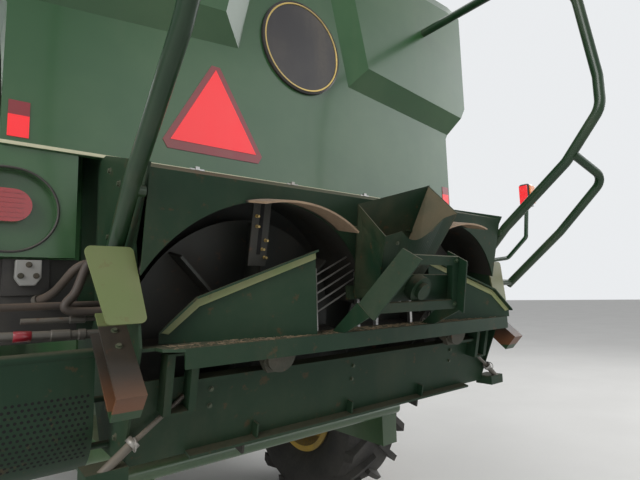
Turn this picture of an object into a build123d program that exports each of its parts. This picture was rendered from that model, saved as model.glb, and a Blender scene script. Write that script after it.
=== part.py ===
from build123d import *
from math import atan2, cos, degrees, hypot, radians, sin, tan
import os

# Combine harvester without its header, in millimetres.
# X points to the machine's left, Y to its tail and Z up. The origin is on the ground under its middle.

# Whole machine
length = 8800
tail_reach = 860            # from the hood's rear face to the outside of the guard tubes
wheelbase = 3600
rear_axle_offset = 1850     # rear axle ahead of the hood's rear face
hood_y = length / 2 - tail_reach
feeder_y = -length / 2
rear_axle_y = hood_y - rear_axle_offset
front_axle_y = rear_axle_y - wheelbase

# Fits
seat_gap = 0.5              # between a turning piece and what carries it
pin_gap = 0.05              # radial, of a pin in its bore
panel_gap = 8               # between panels that move past each other
hinge_rod, tab_half = 8, 60  # panels' hinge rods, and half the length of the tabs round them

# Wheels
front_radius, front_width, front_track = 975, 800, 3000
rear_radius, rear_width, rear_track = 780, 560, 2960
front_bead, rear_bead = 440, 380
front_lug, rear_lug = 52, 40
front_lug_count, rear_lug_count = 18, 17

# Frame
rail_x, rail_width, rail_height = 620, 100, 200
body_floor = 1150
rail_top = body_floor
rail_front_y = front_axle_y + 130
crossbar_radius = 32
crossbar_offset = 184       # crossbar ahead of the hood's rear face
crossbar_y = hood_y - crossbar_offset
crossbar_z = 1127

# Body
body_half = 800
body_top = 2450
body_front_y = front_axle_y - 240
body_rear_y = hood_y - 340
body_middle = (body_floor + body_top) / 2
shield_x = 1400
shield_front_y, shield_rear_y = front_axle_y + 1060, hood_y - 1050
shield_arch_z = 1750
tank_half, tank_wall = 1250, 30
tank_front_y, tank_rear_y = front_axle_y - 140, front_axle_y + 1760
tank_top = 3500
cover_rise = 350
cover_thick = 24
engine_top = 3420

# Hood
hood_half, hood_low_half = 1190, 1070
hood_front_y = hood_y - 2190
hood_wall = 30
hood_top = 3560
hood_proud = 60             # the upper panel stands out this far behind the lower one
seam_z = 2178
bevel_in, bevel_out = 2710, 2610     # the bevel's lower line at the notch and at the hood's edge
notch_low, notch_high, notch_top = 300, 190, 3190

# Cab
cab_half = 850
cab_front_y, cab_rear_y = front_axle_y - 1410, front_axle_y - 280
cab_floor, floor_thick = 1990, 60
cab_roof_z, roof_thick = 3540, 230
post = 60
glass = 8
glass_bow = 160

# Platform and ladder
deck_z, deck_thick = 2010, 40
deck_out = 1885
deck_front_y, deck_rear_y = cab_front_y + 70, cab_rear_y
rail_tube = 17
rail_height_up = 1000
ladder_low_z = 520
ladder_in, ladder_out = 1150, 1640
ladder_run = 290
ladder_pin, ladder_pin_y = 18, deck_front_y + 40

# Feederhouse
feeder_half = 700
feeder_pivot_y, feeder_pivot_z = front_axle_y - 380, 1640
feeder_pin = 70
feeder_face_low, feeder_face_high = 520, 1240
lift_x = 560
lift_base_y, lift_base_z = body_front_y, 700
lift_eye_y, lift_eye_z = feeder_y + 900, 760
lift_pin = 25
lift_barrel_radius, lift_rod_radius = 60, 32
lift_drift = 22             # open pivot: the rod's pin may wander this far in its slot

# Unloading auger
auger_x, auger_y, auger_z = 1480, front_axle_y + 1490, 3225
auger_radius = 175
auger_reach = 3900

# Tail. Its plane leans rearward at the top; what stands on it is given as X and height above tail_z.
tail_lean = 12
tail_offset, tail_z = 296, 1568
rotor_x, rotor_radius, rotor_recess = 420, 365, 150
disc_thick, bat_height, bat_thick, bat_count = 8, 95, 8, 8
hub_radius, shaft_radius = 62, 18
shroud_radius, shroud_thick = 430, 6
chamber_depth = 235
lip_depth = 110             # the shroud's inner lip reaches this far behind the arches
wall_x, wall_thick = 795, 6
wall_corner = (405, 2046)
wall_elbow = (262, 1860)
plate_top = 478
tray_z, tray_thick, tray_rear, tray_lip, tray_half = 1590, 8, 440, 48, 760
vane_inner = (302, 410)
vane_outer = (728, 282)
vane_thick, vane_flange = 6, 28
vane_high, vane_knee, vane_low = 1848, 1718, 1630
vane_knee_share = 0.787     # where along the foot the top edge turns down
right_vane_inner = (-345, 322)
right_vane_outer = (-735, 436)
chute_half, chute_wall = 165, 6
chute_back = (470, 2050)
chute_front = (588, 1930)
bracket_foot = (221, 530, 1658)
bracket_head = (114, 626, 1826)
motor_radius = 46
board_half, board_top, board_low, board_thick = 640, 1511, 1300, 6
guard_x, guard_radius, guard_bend = 835, 21, 110
guard_run = [(215, 1800), (400, 1998), (690, 2240), (tail_reach - guard_radius, 2430),
             (tail_reach - guard_radius, 2560), (790, 2920), (690, 3150), (0, 3150)]
branch_x = 1000
branch_run = [(770, 2175), (570, 1967), (300, 1735)]
arm_depth, arm_half, arm_thick = 66, 38, 6
arm_top, arm_foot = (190, 1655), (400, 1475)
flap_top, flap_foot = 1845, 1658
flap_corners = [(920, 0), (806, 0), (780, 1), (873, 1)]
drive_in, drive_out = 853, 1075
drive_rear, drive_top, drive_low, drive_bend = 165, 1571, 1262, 150
carrier_radius = 15
strut_run = [(648, 1467), (790, 1366), (882, 1293)]
strut_y = 284
marker_x, marker_z, marker_out = 1250, 2153, 305
marker_width, marker_depth, marker_height, marker_radius = 62, 58, 122, 11

# Lamps
lamp_in, lamp_out = 982, 1150
lamp_z, lamp_height = 1995, 96
skirt_in, skirt_low = 866, 1845
recess_in, recess_height, recess_depth = 917, 240, 34

pieces = {}


def box(x, y, z, mode=Mode.ADD):
    """Adds a box between the low and high values of each axis to the open part."""
    with Locations(((x[0] + x[1]) / 2, (y[0] + y[1]) / 2, (z[0] + z[1]) / 2)):
        Box(abs(x[1] - x[0]), abs(y[1] - y[0]), abs(z[1] - z[0]), mode=mode)


def rod(start, end, radius, mode=Mode.ADD):
    """Adds a round bar from start to end to the open part."""
    axis = Vector(*end) - Vector(*start)
    with BuildSketch(Plane(origin=start, z_dir=axis)) as section:
        Circle(radius)
    extrude(section.sketch, amount=axis.length, mode=mode)


def side_profile(points, low, high, mode=Mode.ADD):
    """Adds a plate of a Y, Z outline between two X values to the open part."""
    with BuildSketch(Plane.YZ.offset(low)) as outline:
        with BuildLine():
            Polyline(*points, close=True)
        make_face()
    extrude(outline.sketch, amount=high - low, mode=mode)


def front_profile(points, low, high, mode=Mode.ADD):
    """Adds a plate of an X, Z outline between two Y values to the open part."""
    with BuildSketch(Plane(origin=(0, low, 0), x_dir=(1, 0, 0), z_dir=(0, -1, 0))) as outline:
        with BuildLine():
            Polyline(*points, close=True)
        make_face()
    extrude(outline.sketch, amount=low - high, mode=mode)


def bent_tube(points, radius, bend):
    """A round tube along straight runs joined by arcs."""
    with BuildPart() as tube:
        with BuildLine() as path:
            FilletPolyline(*points, radius=bend)
        with BuildSketch(Plane(origin=path.line @ 0, z_dir=path.line % 0)):
            Circle(radius)
        sweep()
    return tube.part


def make_tyre(radius, width, bead, lug_height, lug_count):
    """A tyre about the X axis through the origin, with chevron lugs pointing along its roll."""
    carcass = radius - lug_height
    half = width / 2
    shoulder = 0.10 * radius
    with BuildPart() as lug:
        slant = 0.34 * width
        thick = 0.075 * radius
        with BuildSketch(Plane.XY.offset(carcass - 2 * lug_height)):
            with BuildLine():
                Polyline(
                    (-8, -thick / 2), (half * 0.97, slant), (half * 0.97, slant + thick * 1.25),
                    (half * 0.45, slant * 0.5 + thick * 0.9), (-8, thick * 0.7), close=True,
                )
            make_face()
        extrude(amount=3 * lug_height + 60, taper=4)
        Cylinder(radius, 2 * width, rotation=(0, 90, 0), mode=Mode.INTERSECT)
    with BuildPart() as tyre:
        with BuildSketch(Plane.XY):
            with BuildLine():
                seat = half * 0.72 - 16
                Polyline((-seat, bead + 30), (-seat, bead), (seat, bead), (seat, bead + 30))
                Spline((seat, bead + 30), (half, bead + 0.5 * (carcass - bead)),
                       (half * 0.93, carcass - shoulder * 0.55))
                Polyline((half * 0.93, carcass - shoulder * 0.55), (half * 0.78, carcass - 12),
                         (0, carcass), (-half * 0.78, carcass - 12), (-half * 0.93,
                                                                      carcass - shoulder * 0.55))
                Spline((-half * 0.93, carcass - shoulder * 0.55), (-half, bead + 0.5 * (carcass - bead)),
                       (-seat, bead + 30))
            make_face()
        revolve(axis=Axis.X)
        pitch = 360 / lug_count
        for turn in range(lug_count):
            add(lug.part.rotate(Axis.X, turn * pitch))
            add(lug.part.mirror(Plane.YZ).rotate(Axis.X, (turn + 0.5) * pitch))
    return tyre.part


def make_rim(bead, width, disc_x, hub_radius, hub_in):
    """A rim about the X axis through the origin, its disc dished outward to disc_x."""
    half = width * 0.36
    flange = bead + 22
    with BuildPart() as rim:
        with BuildSketch(Plane.XY):
            with BuildLine():
                Polyline(
                    (-half - 14, flange), (-half - 14, bead - 22), (-half + 60, bead - 46),
                    (disc_x - 40, bead - 60), (disc_x - 12, bead * 0.62), (disc_x - 60, bead * 0.52),
                    (disc_x - 60, hub_radius), (hub_in, hub_radius), (hub_in, 0), (disc_x + 12, 0),
                    (disc_x + 12, hub_radius * 0.62), (disc_x - 36, hub_radius), (disc_x - 40, bead * 0.5),
                    (disc_x + 12, bead * 0.62), (disc_x - 10, bead - 40), (half - 40, bead - 26),
                    (half + 14, bead - 20), (half + 14, flange), (half, flange), (half - 8, bead - 0.3),
                    (-half + 8, bead - 0.3), (-half, flange), close=True,
                )
            make_face()
        revolve(axis=Axis.X)
    return rim.part


# Wheels, each a tyre and a rim: side, radius, width, bead, lug, count, track, axle, disc, hub, hub end
wheel_rows = {
    "front": (front_radius, front_width, front_bead, front_lug, front_lug_count, front_track,
              front_axle_y, -60, 150, -130),
    "rear": (rear_radius, rear_width, rear_bead, rear_lug, rear_lug_count, rear_track,
             rear_axle_y, 0, 95, -70),
}
for end, (radius, width, bead, lug, count, track, axle_y, disc, hub, hub_in) in wheel_rows.items():
    tyre = make_tyre(radius, width, bead, lug, count)
    rim = make_rim(bead, width, disc, hub, hub_in)
    for side, sign in (("left", 1), ("right", -1)):
        place = Location((sign * track / 2, axle_y, radius))
        pieces[f"tyre_{end}_{side}"] = place * (tyre if sign > 0 else tyre.mirror(Plane.YZ))
        pieces[f"rim_{end}_{side}"] = place * (rim if sign > 0 else rim.mirror(Plane.YZ))

# Frame: two rails on the body's floor, cross members, and the round crossbar at the tail
with BuildPart() as frame:
    for sign in (1, -1):
        middle = sign * rail_x
        box((middle - rail_width / 2, middle + rail_width / 2), (rail_front_y, crossbar_y),
            (rail_top - rail_height, rail_top))
    for y in (rail_front_y + 60, rear_axle_y, rear_axle_y + 900):
        box((-rail_x, rail_x), (y - 60, y + 60), (rail_top - rail_height, rail_top - 40))
    rod((-rail_x - rail_width / 2, crossbar_y, crossbar_z),
        (rail_x + rail_width / 2, crossbar_y, crossbar_z),
        crossbar_radius)
pieces["frame"] = frame.part

# Front axle: a deep housing between the tyres, with a drop box and a flange at each end
front_flange_x = front_track / 2 - 130 - seat_gap
with BuildPart() as front_axle:
    rod((-front_flange_x, front_axle_y, front_radius), (front_flange_x, front_axle_y, front_radius), 120)
    box((-760, 760), (front_axle_y - 150, front_axle_y + 130), (front_radius - 140, front_radius + 175))
    for sign in (1, -1):
        rod((sign * 806, front_axle_y, front_radius), (sign * 1010, front_axle_y, front_radius), 250)
        rod((sign * 1010, front_axle_y, front_radius),
            (sign * (front_flange_x - 60), front_axle_y, front_radius), 190)
        rod((sign * (front_flange_x - 30), front_axle_y, front_radius),
            (sign * front_flange_x, front_axle_y, front_radius), 150)
pieces["front_axle"] = front_axle.part

# Rear axle: a box beam hung from the frame, an eye for the king pin at each end, and the steering cylinder
king_x, king_pin, eye_radius, eye_half = 1100, 28, 62, 95
with BuildPart() as rear_axle:
    box((-king_x, king_x), (rear_axle_y - 75, rear_axle_y + 75), (rear_radius - 80, rear_radius + 80))
    box((-180, 180), (rear_axle_y - 60, rear_axle_y + 60), (rear_radius + 80, rail_top - rail_height))
    rod((0, rear_axle_y - 130, rear_radius + 90), (0, rear_axle_y + 130, rear_radius + 90), 55)
    for sign in (1, -1):
        rod((sign * king_x, rear_axle_y, rear_radius - eye_half),
            (sign * king_x, rear_axle_y, rear_radius + eye_half),
            eye_radius)
        rod((sign * king_x, rear_axle_y, rear_radius - eye_half - 1),
            (sign * king_x, rear_axle_y,
             rear_radius + eye_half + 1), king_pin + pin_gap, mode=Mode.SUBTRACT)
    rod((-330, rear_axle_y + 135, rear_radius), (330, rear_axle_y + 135, rear_radius), 50)
    rod((-520, rear_axle_y + 135, rear_radius), (520, rear_axle_y + 135, rear_radius), 22)
    for x in (-250, 250):
        box((x - 25, x + 25), (rear_axle_y + 75, rear_axle_y + 135), (rear_radius - 50, rear_radius + 50))
pieces["rear_axle"] = rear_axle.part

# Steering knuckles: ears above and below the axle's eye, the king pin, a web and the wheel's stub axle
knuckle_web = king_x + eye_radius + 12
stub_end = rear_track / 2 - 70 - seat_gap
with BuildPart() as knuckle:
    for sign in (1, -1):
        low = rear_radius + sign * (eye_half + seat_gap)
        box((king_x - 55, knuckle_web + 40), (rear_axle_y - 60, rear_axle_y + 60), (low, low + sign * 40))
    rod((king_x, rear_axle_y, rear_radius - eye_half - 20),
        (king_x, rear_axle_y, rear_radius + eye_half + 20), king_pin)
    box((knuckle_web, knuckle_web + 40), (rear_axle_y - 60, rear_axle_y + 60),
        (rear_radius - eye_half - 40, rear_radius + eye_half + 40))
    rod((knuckle_web + 40, rear_axle_y, rear_radius), (stub_end, rear_axle_y, rear_radius), 70)
pieces["knuckle_left"] = knuckle.part
pieces["knuckle_right"] = knuckle.part.mirror(Plane.YZ)

# Separator body: the long sheet-metal box between the wheels
body_points = [
    (body_front_y, 1560), (body_front_y + 260, body_floor), (rear_axle_y - 390, body_floor),
    (rear_axle_y + 300, body_floor + 270), (body_rear_y, body_floor + 300), (body_rear_y, body_top),
    (body_front_y, body_top),
]
shield_hinge_z = body_top - 10
shield_hinge_x = shield_x + 12
shield_tabs = (shield_front_y + 500, (shield_front_y + shield_rear_y) / 2, shield_rear_y - 600)
with BuildPart() as separator_body:
    side_profile(body_points, -body_half, body_half)
    for sign in (1, -1):
        side = sign * body_half
        box((side, side + sign * 600), (shield_front_y - 40, shield_front_y - 12),
            (body_floor + 60, body_top))
        box((side, side + sign * 560), (shield_rear_y + 12, shield_rear_y + 40),
            (shield_arch_z + 40, body_top))
        box((side, sign * (shield_hinge_x - 27)), (shield_front_y - 40, shield_rear_y + 40),
            (body_top - 20, body_top))
        rod((sign * shield_hinge_x, shield_front_y + 380, shield_hinge_z),
            (sign * shield_hinge_x, shield_rear_y - 500, shield_hinge_z), hinge_rod)
        for tab_y in shield_tabs:
            for y in (tab_y - tab_half - 25, tab_y + tab_half + 5):
                box((sign * (shield_hinge_x - 30), sign * (shield_hinge_x + 12)), (y, y + 20),
                    (body_top - 20, body_top))
        for y, z, radius in ((-450, 1850, 240), (250, 1650, 180), (900, 2060, 300), (1750, 2060, 150)):
            rod((side, y, z), (side + sign * 90, y, z), radius)
            rod((side + sign * 90, y, z), (side + sign * 150, y, z), radius * 0.3)
pieces["separator_body"] = separator_body.part

# Side shields: bulged panels hinged along their top edge, arched over the rear wheel
with BuildPart() as side_shield:
    with BuildSketch(Plane(origin=(0, shield_front_y, 0), x_dir=(1, 0, 0), z_dir=(0, -1, 0))):
        with BuildLine():
            outer = ThreePointArc((shield_x + 12, body_floor), (shield_x + 100, body_middle),
                                  (shield_x + 12, body_top - 60))
            Line(outer @ 1, (shield_x - 20, body_top - 60))
            inner = ThreePointArc((shield_x - 20, body_top - 60), (shield_x + 62, body_middle),
                                  (shield_x - 20, body_floor))
            Line(inner @ 1, outer @ 0)
        make_face()
    extrude(amount=-(shield_rear_y - shield_front_y))
    arch_front = rear_axle_y - rear_radius - 160
    side_profile([(arch_front - 130, body_floor - 10), (arch_front, shield_arch_z),
                  (shield_rear_y + 10, shield_arch_z),
                  (shield_rear_y + 10, body_floor - 10)], shield_x - 60, shield_x + 160, mode=Mode.SUBTRACT)
    for y in shield_tabs:
        box((shield_hinge_x - 16, shield_hinge_x + 16), (y - tab_half, y + tab_half),
            (body_top - 61, shield_hinge_z + 16))
    rod((shield_hinge_x, shield_front_y - 1, shield_hinge_z),
        (shield_hinge_x, shield_rear_y + 1, shield_hinge_z),
        hinge_rod + pin_gap, mode=Mode.SUBTRACT)
pieces["side_shield_left"] = side_shield.part
pieces["side_shield_right"] = side_shield.part.mirror(Plane.YZ)

# Rear hood: a shell open below, its upper panel proud of the lower one along a notched bevel
hood_front_top = hood_top - 60
hood_face = hood_y - hood_proud
kink_low, kink_high = 2600, 2790
proud_top = hood_top - 90
hood_outline = [(hood_low_half, seam_z), (hood_low_half, kink_low), (hood_half, kink_high),
                (hood_half, hood_top - 130),
                (hood_half - 50, hood_top - 40), (hood_half - 170, hood_top)]
hood_section = hood_outline + [(-x, z) for x, z in reversed(hood_outline)]
with BuildPart() as proud_panel:
    with BuildSketch(Plane(origin=(0, hood_face, 0), x_dir=(-1, 0, 0), z_dir=(0, 1, 0))):
        with BuildLine():
            Polyline((notch_low, bevel_in), (hood_half + 300, bevel_out - 25), (hood_half + 300, proud_top),
                     (-hood_half - 300, proud_top), (-hood_half - 300, bevel_out - 25), (-notch_low,
                         bevel_in),
                     (-notch_high, notch_top), (notch_high, notch_top), close=True)
        make_face()
    extrude(amount=hood_proud, taper=60)
    front_profile(hood_section, hood_face - 1, hood_y + 1, mode=Mode.INTERSECT)
with BuildPart() as rear_hood:
    side_profile([(hood_front_y, body_top), (hood_front_y, hood_front_top), (hood_face - 360, hood_top),
                  (hood_face - 80, hood_top - 20), (hood_face, hood_top - 90), (hood_face, seam_z),
                  (hood_y - 1000, seam_z), (hood_y - 1000, body_top)], -hood_half, hood_half)
    front_profile(hood_section, hood_front_y - 1, hood_y + 1, mode=Mode.INTERSECT)
    side_profile([(hood_front_y - 1, body_top - 600), (hood_front_y - 1, hood_front_top - hood_wall),
                  (hood_face - 370, hood_top - hood_wall), (hood_face - 100, hood_top - 50),
                  (hood_face - hood_wall, hood_top - 110), (hood_face - hood_wall, body_top - 600)],
                 hood_wall - hood_low_half, hood_low_half - hood_wall, mode=Mode.SUBTRACT)
    add(proud_panel.part)
    box((-hood_low_half, hood_low_half), (hood_face - 14, hood_face + 8), (seam_z - 10, seam_z + 8))
pieces["rear_hood"] = rear_hood.part

# Lamp skirts: panels below the hood's seam, beside the spreader, with the lamps' rounded recesses
skirt_front = hood_y - 1000
skirt_top = seam_z - 10
with BuildPart() as skirt:
    with BuildSketch(Plane.XY.offset(skirt_low)):
        with BuildLine():
            Polyline((skirt_in, hood_face), (skirt_in, hood_face - 40), (hood_half - 40, hood_face - 40),
                     (hood_half - 40, skirt_front), (hood_half, skirt_front), (hood_half, hood_face - 30),
                     (hood_half - 30, hood_face), close=True)
        make_face()
    extrude(amount=skirt_top - skirt_low)
    box((hood_half - 44, hood_half + 1), (skirt_front - 1, hood_face - 420),
        (skirt_low - 1, skirt_low + 90),
        mode=Mode.SUBTRACT)
    with BuildSketch(Plane(origin=(0, hood_face, 0), x_dir=(-1, 0, 0), z_dir=(0, 1, 0))):
        with Locations((-(recess_in + 1170) / 2, (1858 + 2105) / 2)):
            SlotOverall(1170 - recess_in, recess_height)
    extrude(amount=-recess_depth, mode=Mode.SUBTRACT)
    box((hood_half - 200, hood_half - 40), (hood_y - 480, hood_y - 460), (skirt_low + 60, skirt_top))
with BuildPart() as hood_skirts:
    add(skirt.part)
    mirror(about=Plane.YZ)
pieces["hood_skirts"] = hood_skirts.part

# Chopper housing between the separator body and the spreader
with BuildPart() as chopper_housing:
    side_profile([(body_rear_y, body_floor + 300), (hood_y - 90, 1480), (hood_y - 90, seam_z),
                  (hood_y - 160, 2420), (body_rear_y, body_top)], -wall_x + 1, wall_x - 1)
    for sign in (1, -1):
        rod((sign * (wall_x - 1), hood_y - 215, 1720), (sign * (wall_x + 50), hood_y - 215, 1720), 115)
pieces["chopper_housing"] = chopper_housing.part

# Grain tank: an open hopper with gabled ends, and two hinged covers that meet over the middle
cover_hinge_z, cover_rod = tank_top + 20, 6
cover_lugs = (tank_front_y + 150, (tank_front_y + tank_rear_y) / 2, tank_rear_y - 150)
with BuildPart() as grain_tank:
    box((-tank_half, tank_half), (tank_front_y, tank_rear_y), (body_top, tank_top))
    with BuildSketch(Plane.XY.offset(tank_top + 1)):
        with Locations((0, (tank_front_y + tank_rear_y) / 2)):
            Rectangle(2 * (tank_half - tank_wall), tank_rear_y - tank_front_y - 2 * tank_wall)
    extrude(amount=-420, mode=Mode.SUBTRACT)
    with BuildSketch(Plane.XY.offset(tank_top - 418)):
        with Locations((0, (tank_front_y + tank_rear_y) / 2)):
            Rectangle(2 * (tank_half - tank_wall), tank_rear_y - tank_front_y - 2 * tank_wall)
    with BuildSketch(Plane.XY.offset(body_top + 60)):
        with Locations((0, (tank_front_y + tank_rear_y) / 2)):
            Rectangle(900, 700)
    loft(mode=Mode.SUBTRACT)
    for y in (tank_front_y, tank_rear_y - tank_wall):
        front_profile([(-tank_half + 60, tank_top), (tank_half - 60, tank_top),
                       (0, tank_top + cover_rise - 24)],
                      y, y + tank_wall)
    for sign in (1, -1):
        rod((sign * tank_half, tank_front_y, cover_hinge_z), (sign * tank_half, tank_rear_y, cover_hinge_z),
            cover_rod)
        for y in cover_lugs:
            box((sign * tank_half - 10, sign * tank_half + 10), (y - 20, y + 20),
                (tank_top - 40, cover_hinge_z + 10))
pieces["grain_tank"] = grain_tank.part

cover_angle = atan2(cover_rise, tank_half)
cover_run = hypot(tank_half - panel_gap, cover_rise)
cover_middle = (tank_rear_y + tank_front_y) / 2
with BuildPart() as tank_cover:
    with BuildSketch(Plane(origin=(tank_half, cover_middle, cover_hinge_z),
                           x_dir=(-cos(cover_angle), 0, sin(cover_angle)), z_dir=(0, 1, 0))):
        with BuildLine():
            Polyline((-12, -12), (50, -4), (cover_run - 20, -4), (cover_run - 12, 8),
                     (cover_run - 12, cover_thick),
                     (60, cover_thick), (-12, 12), close=True)
        make_face()
    extrude(amount=(tank_rear_y - tank_front_y + 80) / 2, both=True)
    rod((tank_half, tank_front_y - 1, cover_hinge_z), (tank_half, tank_rear_y + 1, cover_hinge_z),
        cover_rod + pin_gap, mode=Mode.SUBTRACT)
    for y in cover_lugs:
        box((tank_half - 36, tank_half + 36), (y - 26, y + 26), (tank_top, cover_hinge_z + 60),
            mode=Mode.SUBTRACT)
pieces["tank_cover_left"] = tank_cover.part
pieces["tank_cover_right"] = tank_cover.part.mirror(Plane.YZ)

# Engine housing behind the tank: a box of panels round the engine, with a round opening for the screen
screen_y, screen_z, screen_radius = 620, 2960, 400
engine_front_y, engine_rear_y = tank_rear_y, hood_front_y
with BuildPart() as engine_housing:
    box((-hood_half, hood_half), (engine_front_y, engine_rear_y), (body_top, engine_top))
    box((hood_wall - hood_half, hood_half - hood_wall),
        (engine_front_y + hood_wall, engine_rear_y - hood_wall),
        (body_top - 1, engine_top - hood_wall), mode=Mode.SUBTRACT)
    fillet(engine_housing.edges().filter_by(Axis.Y).group_by(Axis.Z)[-1], 25)
    rod((-hood_half - 1, screen_y, screen_z), (-hood_half + hood_wall + 1, screen_y, screen_z),
        screen_radius + panel_gap,
        mode=Mode.SUBTRACT)
    for row in range(7):
        z = body_top + 260 + row * 90
        box((hood_half - hood_wall - 1, hood_half + 1), (engine_front_y + 250, engine_rear_y - 250),
            (z, z + 34),
            mode=Mode.SUBTRACT)

# Engine: one plain block on the body's deck
with BuildPart() as engine:
    box((-350, 650), (engine_front_y + 250, engine_rear_y - 250), (body_top, body_top + 820))
pieces["engine"] = engine.part

# Rotary screen on the right: a spoked drum lid that turns on its hub
with BuildPart() as screen_carrier:
    rod((-hood_half + 250, screen_y, screen_z), (-hood_half + 60 + seat_gap, screen_y, screen_z), 70)
    box((-hood_half + 200, -hood_half + 250), (screen_y - 80, screen_y + 80),
        (body_top, engine_top - hood_wall))
with BuildPart() as screened_housing:
    add(engine_housing.part)
    add(screen_carrier.part)
pieces["engine_housing"] = screened_housing.part
with BuildPart() as rotary_screen:
    with BuildSketch(Plane(origin=(-hood_half + 60, screen_y, screen_z), z_dir=(-1, 0, 0))):
        Circle(screen_radius)
    extrude(amount=110)
    with BuildSketch(Plane(origin=(-hood_half + 59, screen_y, screen_z), z_dir=(-1, 0, 0))):
        Circle(screen_radius - 14)
        Circle(80, mode=Mode.SUBTRACT)
    extrude(amount=97, mode=Mode.SUBTRACT)
pieces["rotary_screen"] = rotary_screen.part

# Stacks: exhaust pipe and air intake on the engine housing's roof
exhaust = bent_tube([(760, 900, engine_top), (760, 900, engine_top + 330), (760, 1090, engine_top + 430)],
                    62, 90)
with BuildPart() as stacks:
    add(exhaust)
    rod((760, 900, engine_top), (760, 900, engine_top + 20), 95)
    rod((-620, 350, engine_top), (-620, 350, engine_top + 190), 75)
    rod((-620, 350, engine_top + 190), (-620, 350, engine_top + 400), 150)
    rod((-620, 350, engine_top + 400), (-620, 350, engine_top + 430), 110)
pieces["stacks"] = stacks.part

# Unloading auger: a turret on the tank's side, and the long tube that swings out from it
turret_top = auger_z - auger_radius - 6
with BuildPart() as auger_turret:
    rod((auger_x, auger_y, 2560), (auger_x, auger_y, turret_top - seat_gap), auger_radius)
    rod((tank_half, auger_y, 2700), (auger_x, auger_y, 2700), 130)
    box((tank_half, auger_x), (auger_y - 90, auger_y + 90), (2560, 2620))
pieces["auger_turret"] = auger_turret.part
with BuildPart() as unloading_auger:
    rod((auger_x, auger_y, turret_top), (auger_x, auger_y, auger_z), auger_radius)
    with Locations((auger_x, auger_y, auger_z)):
        Sphere(auger_radius)
    rod((auger_x, auger_y, auger_z), (auger_x, auger_y + auger_reach, auger_z), auger_radius - 2)
    for share in (0.05, 0.52, 0.9):
        y = auger_y + share * auger_reach
        rod((auger_x, y, auger_z), (auger_x, y + 30, auger_z), auger_radius + 14)
    spout_y = auger_y + auger_reach - 170
    box((auger_x - 150, auger_x + 150), (spout_y - 180, spout_y + 170), (auger_z - 460, auger_z))
    box((auger_x - 140, auger_x + 140), (spout_y - 170, spout_y + 160), (auger_z - 461, auger_z - 120),
        mode=Mode.SUBTRACT)
pieces["unloading_auger"] = unloading_auger.part
saddle_y = hood_y - 700
with BuildPart() as auger_saddle:
    box((hood_half, auger_x + 130), (saddle_y - 30, saddle_y + 30), (auger_z - 300, auger_z - 150))
    rod((auger_x, saddle_y - 31, auger_z), (auger_x, saddle_y + 31, auger_z), auger_radius + 6,
        mode=Mode.SUBTRACT)
pieces["auger_saddle"] = auger_saddle.part

# Cab: floor, corner posts, header and rear wall round a hollow room
roof_low = cab_roof_z
sill = 100
door_front, door_rear = cab_front_y + post + 6, cab_rear_y - 90 - 6
door_low, door_high = cab_floor + floor_thick + 6, roof_low - 50 - 6
door_frame = 55
door_x = cab_half - 40
door_pin = 7
door_hinges = (door_low + 300, door_high - 300)
with BuildPart() as cab_frame:
    with BuildSketch(Plane.XY.offset(cab_floor)):
        with BuildLine():
            Polyline((cab_half, cab_front_y), (cab_half, cab_rear_y), (-cab_half, cab_rear_y),
                     (-cab_half, cab_front_y))
            ThreePointArc((-cab_half, cab_front_y), (0, cab_front_y - glass_bow), (cab_half, cab_front_y))
        make_face()
    extrude(amount=floor_thick)
    for sign in (1, -1):
        for y, deep in ((cab_front_y, post), (cab_rear_y - 90, 90)):
            low, high = sorted((sign * cab_half, sign * (cab_half - post)))
            box((low, high), (y, y + deep), (cab_floor, roof_low))
    box((cab_half - post, cab_half), (cab_front_y, cab_rear_y), (roof_low - 50, roof_low))
    box((-cab_half, -cab_half + post), (cab_front_y, cab_rear_y), (roof_low - 50, roof_low))
    box((-cab_half, -cab_half + post), (cab_front_y, cab_rear_y),
        (cab_floor, cab_floor + floor_thick + sill))
    box((-cab_half, cab_half), (cab_rear_y - 50, cab_rear_y), (cab_floor, roof_low))
    box((-cab_half + 150, cab_half - 150), (cab_rear_y - 51, cab_rear_y + 1), (3000, roof_low - 120),
        mode=Mode.SUBTRACT)
    box((-600, 600), (cab_rear_y - 900, body_front_y), (cab_floor - 60, cab_floor))
    for z in door_hinges:
        rod((door_x + 44, door_rear - 8, z - 72), (door_x + 44, door_rear - 8, z + 72), door_pin)
        for low in (z - 72, z + 56):
            box((cab_half - 1, cab_half + 12), (door_rear - 13, door_rear + 12), (low, low + 16))
            box((cab_half - 4, cab_half + 12), (door_rear + 4, door_rear + 40), (low, low + 16))
pieces["cab_frame"] = cab_frame.part

with BuildPart() as cab_roof:
    with BuildSketch(Plane.XY.offset(roof_low)):
        with BuildLine():
            Polyline((cab_half + 60, cab_front_y - 60), (cab_half + 60, cab_rear_y + 20),
                     (-cab_half - 60, cab_rear_y + 20), (-cab_half - 60, cab_front_y - 60))
            ThreePointArc((-cab_half - 60, cab_front_y - 60), (0, cab_front_y - glass_bow - 160),
                          (cab_half + 60, cab_front_y - 60))
        make_face()
    extrude(amount=roof_thick, taper=14)
    for x in (-640, -460, 460, 640):
        box((x - 70, x + 70), (cab_front_y - 150, cab_front_y + 40), (roof_low + 40, roof_low + 130),
            mode=Mode.SUBTRACT)
pieces["cab_roof"] = cab_roof.part

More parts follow.
